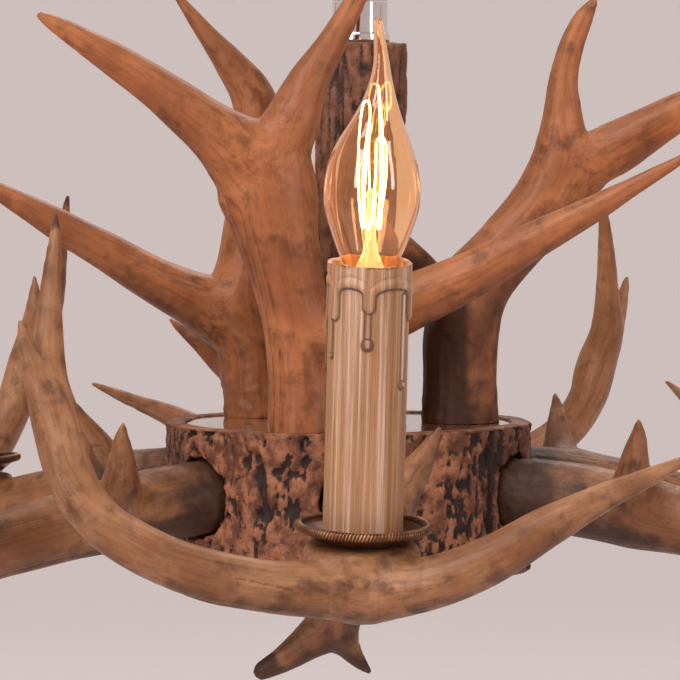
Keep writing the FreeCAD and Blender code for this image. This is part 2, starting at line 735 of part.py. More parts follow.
nipple = disc(NIPPLE_RADIUS, -NIPPLE_DROP, NIPPLE_RISE)
nipple = nipple.cut(disc(NIPPLE_BORE, -NIPPLE_DROP, NIPPLE_RISE))
socket_radius = CAP_RADIUS + THREAD_SLIP
holder = turned(
    [
        (NIPPLE_RADIUS + SLIP, HOLDER_FOOT),
        (HOLDER_FOOT_RADIUS, HOLDER_FOOT),
        (HOLDER_FOOT_RADIUS, NIPPLE_RISE),
        (HOLDER_NECK_RADIUS, NIPPLE_RISE + HOLDER_SLOPE),
        (HOLDER_NECK_RADIUS, HOLDER_BARREL - HOLDER_SLOPE),
        (HOLDER_RADIUS, HOLDER_BARREL),
        (HOLDER_RADIUS, HOLDER_TOP),
        (socket_radius, HOLDER_TOP),
        (socket_radius, HOLDER_TOP - SOCKET_DEPTH),
        (ROD_BORE, HOLDER_TOP - SOCKET_DEPTH),
        (ROD_BORE, NIPPLE_RISE),
        (NIPPLE_RADIUS + SLIP, NIPPLE_RISE),
    ]
)
cap = turned(
    [
        (0, CAP_BOTTOM - CONTACT_LENGTH),
        (CONTACT_RADIUS, CAP_BOTTOM - CONTACT_LENGTH),
        (CONTACT_RADIUS, CAP_BOTTOM),
        (CAP_RADIUS - CAP_SHOULDER, CAP_BOTTOM),
        (CAP_RADIUS, CAP_BOTTOM + CAP_SHOULDER),
        (CAP_RADIUS, HOLDER_TOP),
        (0, HOLDER_TOP),
    ]
)
# The flame shape: (radius, height) as shares of the widest radius and of the whole height
FLAME = (
    (0.46, 0.0),
    (0.63, 0.05),
    (0.78, 0.12),
    (0.92, 0.2),
    (0.985, 0.265),
    (1.0, 0.31),
    (0.975, 0.37),
    (0.87, 0.44),
    (0.71, 0.52),
    (0.54, 0.6),
    (0.375, 0.68),
    (0.25, 0.76),
    (0.17, 0.84),
    (0.125, 0.92),
    (0.07, 1.0),
)


def flame_solid(shrink, height):
    """The bulb's outside, or its inside when shrunk by the glass's wall."""
    points = []
    for share, rise in FLAME:
        radius = share * BULB_RADIUS - shrink
        if radius > BULB_BORE_END:
            points.append(Vector(radius, 0, HOLDER_TOP + rise * height))
    curve = Part.BSplineCurve()
    curve.interpolate(points)
    top, foot = Vector(0, 0, points[-1].z), Vector(0, 0, points[0].z)
    edges = [
        curve.toShape(),
        Part.LineSegment(points[-1], top).toShape(),
        Part.LineSegment(top, foot).toShape(),
        Part.LineSegment(foot, points[0]).toShape(),
    ]
    return Part.Face(Part.Wire(edges)).revolve(Vector(), Z, 360)


glass = flame_solid(0, BULB_HEIGHT).cut(flame_solid(BULB_WALL, BULB_HEIGHT))
stem_top = HOLDER_TOP + STEM_HEIGHT
stem = turned(
    [
        (0, HOLDER_TOP),
        (STEM_FOOT_RADIUS, HOLDER_TOP),
        (STEM_RADIUS, HOLDER_TOP + STEM_NECK),
        (STEM_RADIUS, stem_top),
        (0, stem_top),
    ]
)
zigzag = []
for i in range(FILAMENT_STRANDS + 1):
    angle = 2 * math.pi * i / FILAMENT_STRANDS
    if i % 2 == 0:
        reach, height = FILAMENT_FOOT_RING, stem_top - FILAMENT_DIP
    else:
        reach, height = FILAMENT_RING, HOLDER_TOP + FILAMENT_TOP
    zigzag.append(Vector(reach * math.cos(angle), reach * math.sin(angle), height))
filament = [stem]
for start, end in zip(zigzag, zigzag[1:]):
    filament.append(rod_between(start, end, FILAMENT_RADIUS))
for point in zigzag:
    filament.append(Part.makeSphere(FILAMENT_RADIUS, point))
filament = filament[0].fuse(filament[1:])

holders, nipples = [], []
for name, azimuth, mirrored, _, _ in ARMS:
    frame = light_frame(azimuth, mirrored)
    own = (
        ("drip_tray", tray),
        ("candle_sleeve", sleeve),
        ("bulb_cap", cap),
        ("bulb_glass", glass),
        ("bulb_filament", filament),
    )
    for kind, shape in own:
        piece = shape.copy()
        piece.Placement = frame
        save(f"{kind}_{name}", piece)
    for shape, group in ((holder, holders), (nipple, nipples)):
        piece = shape.copy()
        piece.Placement = frame
        group.append(piece)
save("lampholders", Part.makeCompound(holders))
save("candle_nipples", Part.makeCompound(nipples))
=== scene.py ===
"""The looks of an antler chandelier: six candle lights on antler arms round a bark stump.

Everything is in metres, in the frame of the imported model: the hanging eye is the origin, +Z is
up and the viewer stands on the -Y side. Heights over the hub's deck are written as height(z).
"""

import math

import bpy
import numpy as np
from mathutils import Euler, Matrix, Vector, noise


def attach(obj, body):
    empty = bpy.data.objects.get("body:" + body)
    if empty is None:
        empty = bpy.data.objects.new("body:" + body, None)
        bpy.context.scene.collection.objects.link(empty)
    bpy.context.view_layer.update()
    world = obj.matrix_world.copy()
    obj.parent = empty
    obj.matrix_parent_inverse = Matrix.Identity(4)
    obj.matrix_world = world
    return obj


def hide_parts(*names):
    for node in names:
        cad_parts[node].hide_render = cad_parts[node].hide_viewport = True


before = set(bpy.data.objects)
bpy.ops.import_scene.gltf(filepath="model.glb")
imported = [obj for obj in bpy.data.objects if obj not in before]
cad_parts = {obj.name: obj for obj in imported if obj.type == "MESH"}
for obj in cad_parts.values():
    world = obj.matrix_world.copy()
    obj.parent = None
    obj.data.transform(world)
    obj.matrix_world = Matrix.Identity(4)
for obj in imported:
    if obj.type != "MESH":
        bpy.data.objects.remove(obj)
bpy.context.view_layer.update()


# ---- camera ----
# A long lens a little above the arms, well in front of the chandelier, looking slightly down
# at the front light.
EYE_OVER_DECK = 0.2141  # from the hub's deck up to the hanging eye
SENSOR_WIDTH = 36  # millimetres, like the lens
LENS_LENGTH = SENSOR_WIDTH * 4270 / 680  # a view 680 units wide, from 4270 away
CAMERA_PLACE = (-0.00815, -1.740, 0.122)  # across, away, over the deck
LOOKS_DOWN = 2.9  # degrees


def height(over_deck):
    """A height over the hub's deck, as Z of the frame."""
    return over_deck - EYE_OVER_DECK


camera = bpy.data.objects.new("camera", bpy.data.cameras.new("camera"))
bpy.context.scene.collection.objects.link(camera)
camera.data.sensor_width = SENSOR_WIDTH
camera.data.lens = LENS_LENGTH
camera.data.clip_end = 60
camera.location = (*CAMERA_PLACE[:2], height(CAMERA_PLACE[2]))
camera.rotation_euler = Euler((math.radians(90 - LOOKS_DOWN), 0, 0))
bpy.context.scene.camera = camera
bpy.context.scene.view_settings.view_transform = "Standard"


# ---- studio ----
# A pale room for the pictures: a round floor that sweeps up into a wall, with soft lamps
# above. It glows a little in the picture and in reflections, and lights nothing by that.
FLOOR_BELOW_DECK = 0.62
ROOM_RADIUS = 7.0
SWEEP_RADIUS = 2.2
SWEEP_STEPS = 12
WALL_TOP = 6.0


class Shade:
    """A socket in a material's nodes. Arithmetic on it adds Math nodes."""

    def __init__(self, tree, socket=None):
        self.tree = tree
        self.socket = socket

    def node(self, kind, settings, sockets, output=0):
        """Any node: its type, its settings, then the values or links of its sockets."""
        made = self.tree.nodes.new("ShaderNode" + kind)
        for name, value in settings.items():
            setattr(made, name, value)
        for name, value in sockets.items():
            if isinstance(value, Shade):
                self.tree.links.new(value.socket, made.inputs[name])
            else:
                made.inputs[name].default_value = value
        return Shade(self.tree, made.outputs[output]) if len(made.outputs) else None

    def maths(self, operation, *values):
        """A Math node on numbers or sockets."""
        return self.node("Math", {"operation": operation}, dict(enumerate(values)))

    def __add__(self, other):
        return self.maths("ADD", self, other)

    def __sub__(self, other):
        return self.maths("SUBTRACT", self, other)

    def __rsub__(self, other):
        return self.maths("SUBTRACT", other, self)

    def __mul__(self, other):
        return self.maths("MULTIPLY", self, other)

    __radd__ = __add__
    __rmul__ = __mul__


def new_material(name):
    """An empty material, and the Shade that its nodes are made from."""
    material = bpy.data.materials.new(name)
    material.use_nodes = True
    material.node_tree.nodes.clear()
    return material, Shade(material.node_tree)


def coloured(rgb):
    """A colour for a socket, with its alpha."""
    return (*rgb, 1.0)


def noise_value(shade, place, scale, detail=3.0, roughness=0.55):
    """A cloudy value round 0.5, in so many patches to one unit of its place."""
    sockets = {"Vector": place, "Scale": scale, "Detail": detail, "Roughness": roughness}
    return shade.node("TexNoise", {}, sockets)


def between(shade, value, low, high):
    """0 below low, 1 above high, and smooth in between."""
    settings = {"interpolation_type": "SMOOTHSTEP"}
    return shade.node("MapRange", settings, {"Value": value, "From Min": low, "From Max": high})


def mixed(shade, share, first, second):
    """One colour turning into another."""
    return shade.node("Mix", {"data_type": "RGBA"}, {0: share, 6: first, 7: second}, output=2)


def covered(shade, bsdf):
    """Lays a finished shader on the material's surface."""
    shade.node("OutputMaterial", {}, {"Surface": bsdf})


def finished(mesh, material):
    """A mesh with smooth shading and one material."""
    mesh.polygons.foreach_set("use_smooth", [True] * len(mesh.polygons))
    mesh.materials.clear()
    mesh.materials.append(material)
    return mesh


def added(name, mesh):
    """A new object of the scene, from its mesh."""
    piece = bpy.data.objects.new(name, mesh)
    bpy.context.scene.collection.objects.link(piece)
    return piece


def meshed(name, points, faces, material):
    """A finished mesh from its points and faces."""
    mesh = bpy.data.meshes.new(name)
    mesh.from_pydata([tuple(p) for p in points], [], [tuple(f) for f in faces])
    return finished(mesh, material)


def lathe(profile, around, closed=False):
    """Points and faces of a profile of (radius, height) turned about Z."""
    turns = np.arange(around) * 2 * math.pi / around
    profile = np.array(profile)
    points = np.stack(
        [
            profile[:, None, 0] * np.cos(turns),
            profile[:, None, 0] * np.sin(turns),
            np.repeat(profile[:, 1:], around, axis=1),
        ],
        axis=-1,
    ).reshape(-1, 3)
    rows = len(profile) if closed else len(profile) - 1
    row, step = np.divmod(np.arange(rows * around), around)
    above, beside = (row + 1) % len(profile), (step + 1) % around
    corners = (
        row * around + step,
        row * around + beside,
        above * around + beside,
        above * around + step,
    )
    return points, np.stack(corners, axis=-1)


room_finish, shade = new_material("room_paper")
place = shade.node("NewGeometry", {}, {})
clouds = noise_value(shade, place, 0.35)
paper = mixed(shade, clouds, coloured((0.66, 0.555, 0.54)), coloured((0.69, 0.585, 0.57)))
path = shade.node("LightPath", {}, {})
seen = path.maths("MAXIMUM", path, shade.node("LightPath", {}, {}, output=3))
seen = seen.maths("MAXIMUM", seen, shade.node("LightPath", {}, {}, output=6))
glow = shade.node("Emission", {}, {"Color": coloured((0.30, 0.292, 0.288)), "Strength": 1.0})
no_glow = shade.node("Emission", {}, {"Strength": 0.0})
shown = shade.node("MixShader", {}, {0: seen, 1: no_glow, 2: glow})
matt = shade.node("BsdfPrincipled", {}, {"Base Color": paper, "Roughness": 0.9})
covered(shade, shade.node("AddShader", {}, {0: matt, 1: shown}))
floor_height = height(-FLOOR_BELOW_DECK)
sweep = [(0.02, floor_height), (ROOM_RADIUS - SWEEP_RADIUS, floor_height)]
for step in range(1, SWEEP_STEPS + 1):
    angle = math.pi / 2 * step / SWEEP_STEPS
    out = ROOM_RADIUS - SWEEP_RADIUS + SWEEP_RADIUS * math.sin(angle)
    sweep.append((out, floor_height + SWEEP_RADIUS * (1 - math.cos(angle))))
sweep.append((ROOM_RADIUS, WALL_TOP))
room = added("room", meshed("room", *lathe(sweep, 96), room_finish))


def lamp(name, at, size, watts, colour):
    """A softbox of (width, height) that faces the hub."""
    data = bpy.data.lights.new(name, "AREA")
    data.shape = "RECTANGLE"
    data.size, data.size_y = size
    data.energy = watts
    data.color = colour
    box = bpy.data.objects.new(name, data)
    box.location = at
    box.rotation_mode = "QUATERNION"
    aim = Vector((0, 0, height(0.03))) - Vector(at)
    box.rotation_quaternion = aim.to_track_quat("-Z", "Y")
    bpy.context.scene.collection.objects.link(box)


lamp("top_softbox", (-0.9, -1.3, 2.3), (1.5, 1.5), 46, (1.0, 0.95, 0.93))
lamp("left_strip", (-1.5, -2.1, 0.7), (0.6, 1.7), 34, (1.0, 0.95, 0.93))
lamp("right_strip", (1.9, -1.75, 0.55), (0.36, 1.6), 20, (1.0, 0.95, 0.93))
lamp("back_softbox", (0.6, 2.4, 2.2), (1.6, 1.6), 30, (1.0, 0.96, 0.95))
world = bpy.data.worlds.new("room_light")
world.use_nodes = True
world.node_tree.nodes["Background"].inputs["Color"].default_value = (1.0, 0.955, 0.945, 1)
world.node_tree.nodes["Background"].inputs["Strength"].default_value = 0.45
bpy.context.scene.world = world


# ---- antlers ----
# Ten resin castings of real antlers, stained in warm browns and waxed to a satin sheen.
# Each is the imported solid meshed again in small even faces, with its forks drawn smooth and
# shallow grooves that run along every tine. Bolts hold their butts to the stump. Painted shade
# darkens their undersides and hub ends, and one side of the right upright.
VOXEL = 0.0011
FORK_ROUNDING = 3.4  # how widely two tines flow into each other; this and all below in millimetres
RIDGE_HEIGHT = 0.28
GROOVE_DEPTH = 0.4
LUMP_HEIGHT = 0.5
BURR_HEIGHT = 0.9
CANDLE_CIRCLE = 197
# Arms: (name, degrees from the front, hand, degrees that its fork turns, its brow tine's place)
ARMS = (
    ("front", 0, 1, 0, 114),
    ("right_front", 68, -1, 13, 129),
    ("right_back", 121, 1, 15, 116),
    ("back", 180, 1, 2, 122),
    ("left_back", -120, 1, -10, 120),
    ("left_front", -57, 1, 32, 129),
)
# The arms' centre lines, as (out from the hub's middle, to one side, up from the deck, radius)
TRUNK = (
    (62, 0, -27, 14.6),
    (84, 0, -27.5, 15),
    (112, 1, -31, 14.6),
    (150, -1, -38, 13.4),
    (180, 0, -44, 12.6),
    (203, 0, -46, 10.8),
)
CURLED_BRANCH = (
    (199, 9, -46, 7),
    (208, -12, -45.5, 10.2),
    (216, -34, -43.5, 9.8),
    (222, -64, -36.5, 9.6),
    (223, -91, -22, 8.9),
    (220, -104, -5, 8.8),
    (215, -109, 12, 8.3),
    (209, -112.5, 28, 6.9),
    (204, -113, 48, 5.5),
    (200, -112, 70, 3.9),
    (196, -110.6, 89, 1.6),
)
CURLED_SPUR = (
    (216, -104, 6, 3.8),
    (216, -113, 23, 5.2),
    (217, -119.5, 39, 3.6),
    (218, -122.5, 52, 1.5),
)
STRAIGHT_BRANCH = (
    (199, -9, -46, 7),
    (208, 9, -45.5, 10),
    (214, 27, -42, 9.8),
    (217, 45, -34.5, 9.3),
    (216, 67, -22, 7.8),
    (213, 85, -12.6, 5.8),
    (209, 103, -5, 3.9),
    (204, 122, 3.6, 1.5),
)
BROW_TINE = (
    (-13, 5, -35, 6.5),
    (-8, 14, -21, 8),
    (-4, 22, -9, 5.8),
    (-1, 27, 0, 3.6),
    (0, 30, 6, 1.7),
)
# The uprights and the finial, as (x, y, z, radius) from the deck's centre; a fifth number is
# how flat the horn is from front to back, where it spreads into a palm
UPRIGHTS = {
    "upright_antler_front": (
        (
            (-22, -52, 0, 15.5),
            (-23, -52, 18, 14),
            (-25, -53, 42, 13.6, 0.95),
            (-31, -55, 70, 15.8, 0.85),
            (-37, -57, 96, 20, 0.62),
            (-40, -58, 104, 17, 0.6),
        ),
        (
            (-33, -57, 92, 7),
            (-49, -59, 111, 12.6),
            (-66, -62, 125, 10.4),
            (-83, -66, 138, 8.2),
            (-102, -70, 150.5, 6.2),
            (-116, -72, 159, 4.3),
            (-125, -73, 164, 2.2),
        ),
        (
            (-36, -57, 100, 7),
            (-28, -56, 120, 11),
            (-21, -54, 138, 8.6),
            (-12, -52, 153, 6.6),
            (-3, -51, 169, 4.7),
            (8, -50, 190, 1.7),
        ),
        (
            (-24, -53, 32, 6.5),
            (-7, -55, 39, 11.8),
            (18, -58, 51, 11.6),
            (43, -61, 62.5, 9.8),
            (68, -64, 76, 7.8),
            (90, -67, 88, 5.8),
            (111, -69, 100, 4),
            (133, -71, 112.5, 1.6),
        ),
    ),
    "upright_antler_left": (
        (
            (-42, 40, 0, 14.5),
            (-44, 40, 24, 13.4),
            (-47, 41, 48, 13.6),
            (-45, 42, 76, 12.6),
            (-41, 43, 104, 11.8),
            (-43.5, 43, 130, 10),
            (-54, 42, 147, 7.2),
            (-65, 41, 161, 4.5),
            (-78, 40, 178, 1.6),
        ),
        (
            (-43, 41, 33, 6.5),
            (-55, 40, 40, 11.6),
            (-69, 37, 48.5, 11.2),
            (-87, 33, 58, 9.8),
            (-106, 29, 69.5, 8.5),
            (-129, 25, 82.5, 6.6),
            (-149, 22, 94, 4.4),
            (-166, 20, 103, 1.7),
        ),
        (
            (-45, 43, 13, 4.5),
            (-56, 52, 21, 6),
            (-68, 60, 30, 4.2),
            (-80, 66, 39, 1.6),
        ),
    ),
    "upright_antler_right": (
        (
            (41, 4, 0, 16),
            (41, 4, 16, 15.4),
            (41.5, 4, 36, 15.4),
            (46, 5, 54, 15.2),
            (60, 6, 71, 13.6, 0.95),
            (75, 7, 88, 14.4, 0.8),
            (85, 8, 100, 14, 0.68),
        ),
        (
            (76, 7, 92, 5.5),
            (81, 7, 109, 9.6),
            (82.5, 6, 125, 8.4),
            (83, 5, 140, 6.6),
            (86, 4, 153, 5.6),
            (91, 3, 165, 4.4),
            (95, 2, 171.5, 2.4),
        ),
        (
            (83, 8, 100, 6),
            (101, 9, 110, 10.6),
            (116, 9, 118.4, 9.7),
            (131, 8, 127, 8),
            (150, 6, 137, 5.2),
            (171, 4, 148, 1.8),
        ),
        (
            (42, 2, 36, 5.5),
            (33, -14, 51, 8),
            (24, -26, 65, 6.2),
            (12, -32, 79, 4.2),
            (0, -36, 92, 1.7),
        ),
    ),
    "finial_antler": (
        (
            (0, 0, -60, 13),
            (-3, 0, -67, 11.8),
            (-9, -1, -76, 10),
            (-17, -3, -86, 8.4),
            (-29, -5, -95, 6.2),
            (-40, -7, -101, 4.2),
        ),
        (
            (-7, -1, -74, 4.5),
            (-8, 0, -85, 6.4),
            (-3, 2, -95, 4.4),
            (4, 4, -103, 1.7),
        ),
    ),
}


def arm_tines(azimuth, hand, turn, brow_out):
    """An arm's centre lines as (x, y, z, radius): its fork turned about the candle's foot."""
    swing = Matrix.Rotation(math.radians(azimuth), 3, "Z")
    fork_turn = math.radians(turn)
    brow = [(brow_out + out, side, up, radius) for out, side, up, radius in BROW_TINE]
    tines = []
    for places in (TRUNK, brow, CURLED_BRANCH, CURLED_SPUR, STRAIGHT_BRANCH):
        tine = []
        for out, side, up, radius in places:
            side *= hand
            if places not in (TRUNK, brow):
                reach = out - CANDLE_CIRCLE
                out = CANDLE_CIRCLE + reach * math.cos(fork_turn) + side * math.sin(fork_turn)
                side = side * math.cos(fork_turn) - reach * math.sin(fork_turn)
            tine.append((*(swing @ Vector((side, -out, up))), radius))
        tines.append(tine)
    return tines


def finely(places, steps=8):
    """A tine's places again, closer together along a smooth line."""
    given = np.array([(*place, 1)[:5] for place in places], float)
    padded = np.concatenate([given[:1], given, given[-1:]])
    fine = []
    for a, b, c, d in zip(padded, padded[1:], padded[2:], padded[3:]):
        for t in np.arange(steps) / steps:
            fine.append(b + 0.5 * t * (c - a + t * (2 * a - 5 * b + 4 * c - d + t * (3 * (b - c) + d - a))))
    return np.array([*fine, given[-1]])


def made_mesh(draft):
    """The mesh that a draft has once its modifiers or bevel are made. The draft goes."""
    bpy.context.view_layer.update()
    made = draft.evaluated_get(bpy.context.evaluated_depsgraph_get())
    mesh = bpy.data.meshes.new_from_object(made)
    bpy.data.objects.remove(draft)
    return mesh


def even_mesh(node, voxel):
    """A CAD node's solid as a mesh in small faces of one size."""
    draft = added("draft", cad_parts[node].data.copy())
    weld = draft.modifiers.new("weld", "WELD")
    weld.merge_threshold = 1e-6
    remesh = draft.modifiers.new("remesh", "REMESH")
    remesh.mode = "VOXEL"
    remesh.voxel_size = voxel
    return made_mesh(draft)


def points_of(mesh):
    """The mesh's points, a row each."""
    found = np.zeros(len(mesh.vertices) * 3)
    mesh.vertices.foreach_get("co", found)
    return found.reshape(-1, 3)


def normals_of(mesh):
    """The way outward at each of the mesh's points."""
    found = np.zeros(len(mesh.vertices) * 3)
    mesh.vertices.foreach_get("normal", found)
    return found.reshape(-1, 3)


def set_points(mesh, points):
    """Moves the mesh's points."""
    mesh.vertices.foreach_set("co", points.ravel())
    mesh.update()


def from_deck(mesh):
    """A placed mesh's points in millimetres from the deck's centre."""
    return points_of(mesh) * 1000 + [0, 0, 1000 * EYE_OVER_DECK]


def place_again(mesh, points):
    """Puts points in millimetres from the deck's centre back into the frame."""
    set_points(mesh, (points - [0, 0, 1000 * EYE_OVER_DECK]) / 1000)


def smoothed(mesh, points, passes, share):
    """The points drawn towards their neighbours' middle, by a share that may vary."""
    ends = np.zeros(len(mesh.edges) * 2, int)
    mesh.edges.foreach_get("vertices", ends)
    one, two = ends.reshape(-1, 2).T
    count = len(points)
    friends = np.bincount(one, minlength=count) + np.bincount(two, minlength=count)
    friends = np.maximum(friends, 1)[:, None]
    for _ in range(passes):
        middle = np.stack(
            [
                np.bincount(one, points[two, k], count) + np.bincount(two, points[one, k], count)
                for k in range(3)
            ],
            axis=1,
        )
        points = points + share * (middle / friends - points)
    return points


def clouds_at(places, seed):
    """Smooth noise from -1 to 1 at each place, in patches about one unit across."""
    return np.array([noise.noise(place) for place in (places + seed * 17.3).tolist()])


def between_values(values, low, high):
    """The same as between, on numbers: 0 at low, 1 at high, smooth in between."""
    share = np.clip((values - low) / (high - low), 0, 1)
    return share * share * (3 - 2 * share)


def add_values(mesh, name, values):
    """Keeps a number or a vector per point, for the material to read."""
    kind = "FLOAT" if values.ndim == 1 else "FLOAT_VECTOR"
    kept = mesh.attributes.new(name, kind, "POINT")
    field = "value" if values.ndim == 1 else "vector"
    kept.data.foreach_set(field, values.astype(np.float32).ravel())


def along_tines(points, tines):
    """For points in millimetres: each one's offset from its centre line, its way along, the
    line's direction, its distance from the tip, the height over the horn's skin where the
    tines flow into each other, and the way outward."""
    found = []
    for tine in tines:
        line = finely(tine)
        start, step = line[:-1, :3], np.diff(line[:, :3], axis=0)
        lengths = np.linalg.norm(step, axis=1)
        way = np.concatenate([[0], np.cumsum(lengths)])
        nearest = np.full(len(points), np.inf)
        offset, run = np.zeros_like(points), np.zeros_like(points)
        radius, distance, flat = np.zeros(len(points)), np.zeros(len(points)), np.ones(len(points))
        for i in range(len(start)):
            share = np.clip((points - start[i]) @ step[i] / lengths[i] ** 2, 0, 1)
            apart = points - start[i] - share[:, None] * step[i]
            reach = np.linalg.norm(apart, axis=1)
            closer = reach < nearest
            nearest[closer] = reach[closer]
            offset[closer], run[closer] = apart[closer], step[i] / lengths[i]
            radius[closer] = line[i, 3] + share[closer] * (line[i + 1, 3] - line[i, 3])
            flat[closer] = line[i, 4] + share[closer] * (line[i + 1, 4] - line[i, 4])
            distance[closer] = way[i] + share[closer] * lengths[i]
        squared = offset / np.stack([np.ones_like(flat), flat, np.ones_like(flat)], axis=1)
        reach = np.linalg.norm(squared, axis=1)
        outward = squared / np.maximum(reach, 1e-3)[:, None]
        found.append((reach - radius, offset, distance, run, way[-1] - distance, outward))
    depth = np.array([each[0] for each in found])
    least = depth.min(axis=0)
    weight = np.exp(-np.clip(depth - least, 0, 60) / FORK_ROUNDING)
    over_skin = least - FORK_ROUNDING * np.log(weight.sum(axis=0))
    weight /= weight.sum(axis=0)

    def blended(index):
        """One of the values found, shared out over the tines that are near."""
        values = np.array([each[index] for each in found])
        return np.einsum("tn...,tn->n...", values, weight)

    return blended(1), blended(2), blended(3), blended(4), over_skin, blended(5)


def antler_material(name, light, middle, dark, stain_and_shade):
    """Stained horn: fine streaks along the grain, darker in forks, grooves and tips, and darkened further
    by the painted shade that the mesh carries.
    """
    material, shade = new_material(name)
    grain = shade.node("Attribute", {"attribute_name": "grain"}, {}, output=1)
    stain_and_shade_amount = shade.node("Attribute", {"attribute_name": "stain_and_shade"}, {}, output=2)
    groove = shade.node("Attribute", {"attribute_name": "groove"}, {}, output=2)
    body = shade.node("NewGeometry", {}, {})
    broad = noise_value(shade, body, 38, detail=4)
    streaks = noise_value(shade, grain, 0.55, detail=5, roughness=0.62)
    hairs = noise_value(shade, grain, 2.1, detail=3, roughness=0.6)
    flecks = noise_value(shade, grain, 1.1, detail=2)
    tone = mixed(shade, between(shade, broad, 0.3, 0.7), coloured(middle), coloured(light))
    mottles = noise_value(shade, body, 75, detail=6, roughness=0.62)
    tone = mixed(shade, between(shade, mottles, 0.48, 0.7) * 0.75, tone, coloured(dark))
    tone = mixed(shade, between(shade, streaks, 0.4, 0.75) * 0.45, tone, coloured(dark))
    tone = mixed(shade, between(shade, hairs, 0.5, 0.8) * 0.22, tone, coloured(dark))
    tone = mixed(shade, between(shade, flecks, 0.7, 0.78) * 0.5, tone, coloured(stain_and_shade))
    # The mesh's stain value darkens the forks and tips, and adds painted shade underneath, near the hub and
    # on one shaded side.
    patches = noise_value(shade, body, 120, detail=4)
    depth = between(shade, stain_and_shade_amount + (patches - 0.5) * 0.9, 0.35, 0.95)
    tone = mixed(shade, depth * 0.85, tone, coloured(stain_and_shade))
    tone = mixed(shade, between(shade, groove, 0.1, 0.9) * 0.55, tone, coloured(dark))
    height_map = hairs * 0.5 + streaks * 0.8 + noise_value(shade, body, 900, detail=2) * 0.25
    bump = shade.node("Bump", {}, {"Strength": 0.35, "Distance": 0.0006, "Height": height_map})
    sheen = streaks * 0.22 + 0.34 + depth * 0.12
    bsdf = shade.node(
        "BsdfPrincipled",
        {},
        {"Base Color": tone, "Roughness": sheen, "Normal": bump, "Specular IOR Level": 0.32},
    )
    covered(shade, bsdf)
    return material


pale_horn = antler_material(
    "pale_horn", (0.42, 0.205, 0.098), (0.22, 0.086, 0.034), (0.072, 0.023, 0.008), (0.018, 0.006, 0.004)
)
warm_horn = antler_material(
    "warm_horn", (0.44, 0.165, 0.062), (0.26, 0.088, 0.031), (0.095, 0.026, 0.008), (0.016, 0.005, 0.002)
)


def antler(node, tines, material, seed, dark_tip, painted_shade_under, painted_shade_side=0.0):
    """One casting: the solid with smooth forks, its grooves, its stains and its painted shade. The
    last three numbers say how dark its tips are, and how much painted shade lies on its underside
    and hub end and on its shaded side."""
    mesh = even_mesh(node, VOXEL)
    points = from_deck(mesh)
    for share in (0.5, -0.52) * 4:  # drawn in and let out again, which keeps the size
        points = smoothed(mesh, points, 1, share)
    for _ in range(3):
        _, _, _, _, over_skin, outward = along_tines(points, tines)
        points = points - outward * np.clip(over_skin, -2.5, 0.4)[:, None]
    points = smoothed(mesh, points, 14, 0.5)
    offset, way, run, to_tip, _, _ = along_tines(points, tines)
    grain = offset + run * way[:, None] * 0.055
    set_points(mesh, points)
    outward = normals_of(mesh)
    slender = between_values(to_tip, 0, 22)
    ridges = clouds_at(grain / 4.2, seed)
    grooves = between_values(np.abs(ridges), 0.13, 0.0)
    grooves *= between_values(clouds_at(grain / 8, seed + 3), 0.05, 0.45)
    lumps = clouds_at(points / 19, seed + 1)
    push = RIDGE_HEIGHT * ridges - GROOVE_DEPTH * grooves + LUMP_HEIGHT * lumps - 0.2
    burr = between_values(way, 34, 8) * between_values(to_tip, 60, 120)
    push += burr * np.maximum(clouds_at(points / 3.4, seed + 2), 0) * BURR_HEIGHT
    set_points(mesh, points + outward * (push * (0.15 + 0.85 * slender))[:, None])
    add_values(mesh, "grain", grain)
    add_values(mesh, "groove", grooves)
    points = points_of(mesh)
    hollow = np.einsum("ij,ij->i", smoothed(mesh, points, 60, 0.5) - points, outward)
    # Painted shade on the underside, at the burr and near the hub, scaled by the casting's underside shade
    # number.
    underside_shade = between_values(-outward[:, 2], -0.1, 0.9)
    # Painted shade on one side: the lower part of the casting darkened, most on its left half.
    shaded_side_mask = (0.3 + 0.7 * between_values(points[:, 0], 46, 37)) * between_values(points[:, 2], 90, 40)
    near_hub = between_values(np.hypot(points[:, 0], points[:, 1]), 150, 85)
    stain_and_shade = 1.1 * between_values(hollow, 0.1, 1.1)
    high_or_low = np.abs(points[:, 2] - 25) > 45
    stain_and_shade += dark_tip * between_values(to_tip, 9, 2) * (0.25 + 0.75 * high_or_low)
    stain_and_shade += painted_shade_under * (underside_shade + 0.5 * burr + 1.2 * near_hub) + painted_shade_side * shaded_side_mask
    add_values(mesh, "stain_and_shade", stain_and_shade)
    place_again(mesh, points)
    horn = added(node + "_horn", finished(mesh, material))
    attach(horn, "chandelier")
    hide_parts(node)


# Each call gives the tip darkness, then how much painted shade lies under the casting and on a shaded side.
for seed, (name, azimuth, hand, turn, brow_out) in enumerate(ARMS):
    antler("arm_antler_" + name, arm_tines(azimuth, hand, turn, brow_out), pale_horn, seed, 0.9, 0.62)
for seed, (node, tines) in enumerate(UPRIGHTS.items(), len(ARMS)):
    if node == "finial_antler":
        antler(node, tines, pale_horn, seed, 1.0, 0.45)
    else:
        # Only the right upright gets painted shade on its left side.
        painted_shade_side = 1.1 if node == "upright_antler_right" else 0.0
        antler(node, tines, warm_horn, seed, 0.3, 0.25, painted_shade_side)


# ---- hub: the stump ----
# A slice of a tree trunk in cast resin: rough bark with dark hollows round the side, a smooth
# raised rim, and a deep crack beside one arm. The arms are bolted into its side. Its two ends
# and the inside of its rim are darkened with painted shade.
STUMP_VOXEL = 0.0012
HUB_OFFSET = -5.5  # millimetres, along X
HUB_RADIUS = 75
HUB_FOOT = -60
RIM_TOP = 3.2
RIM_SEEN = 0.9  # the rim worn down until it's almost level with the deck
RIM_FOOT = -2.5
CRACK_AT = 53.5  # degrees from the front, towards the right
CRACK_WIDTH = 1.7
CRACK_DEPTH = 5.0
PIT_DEPTH = 2.4


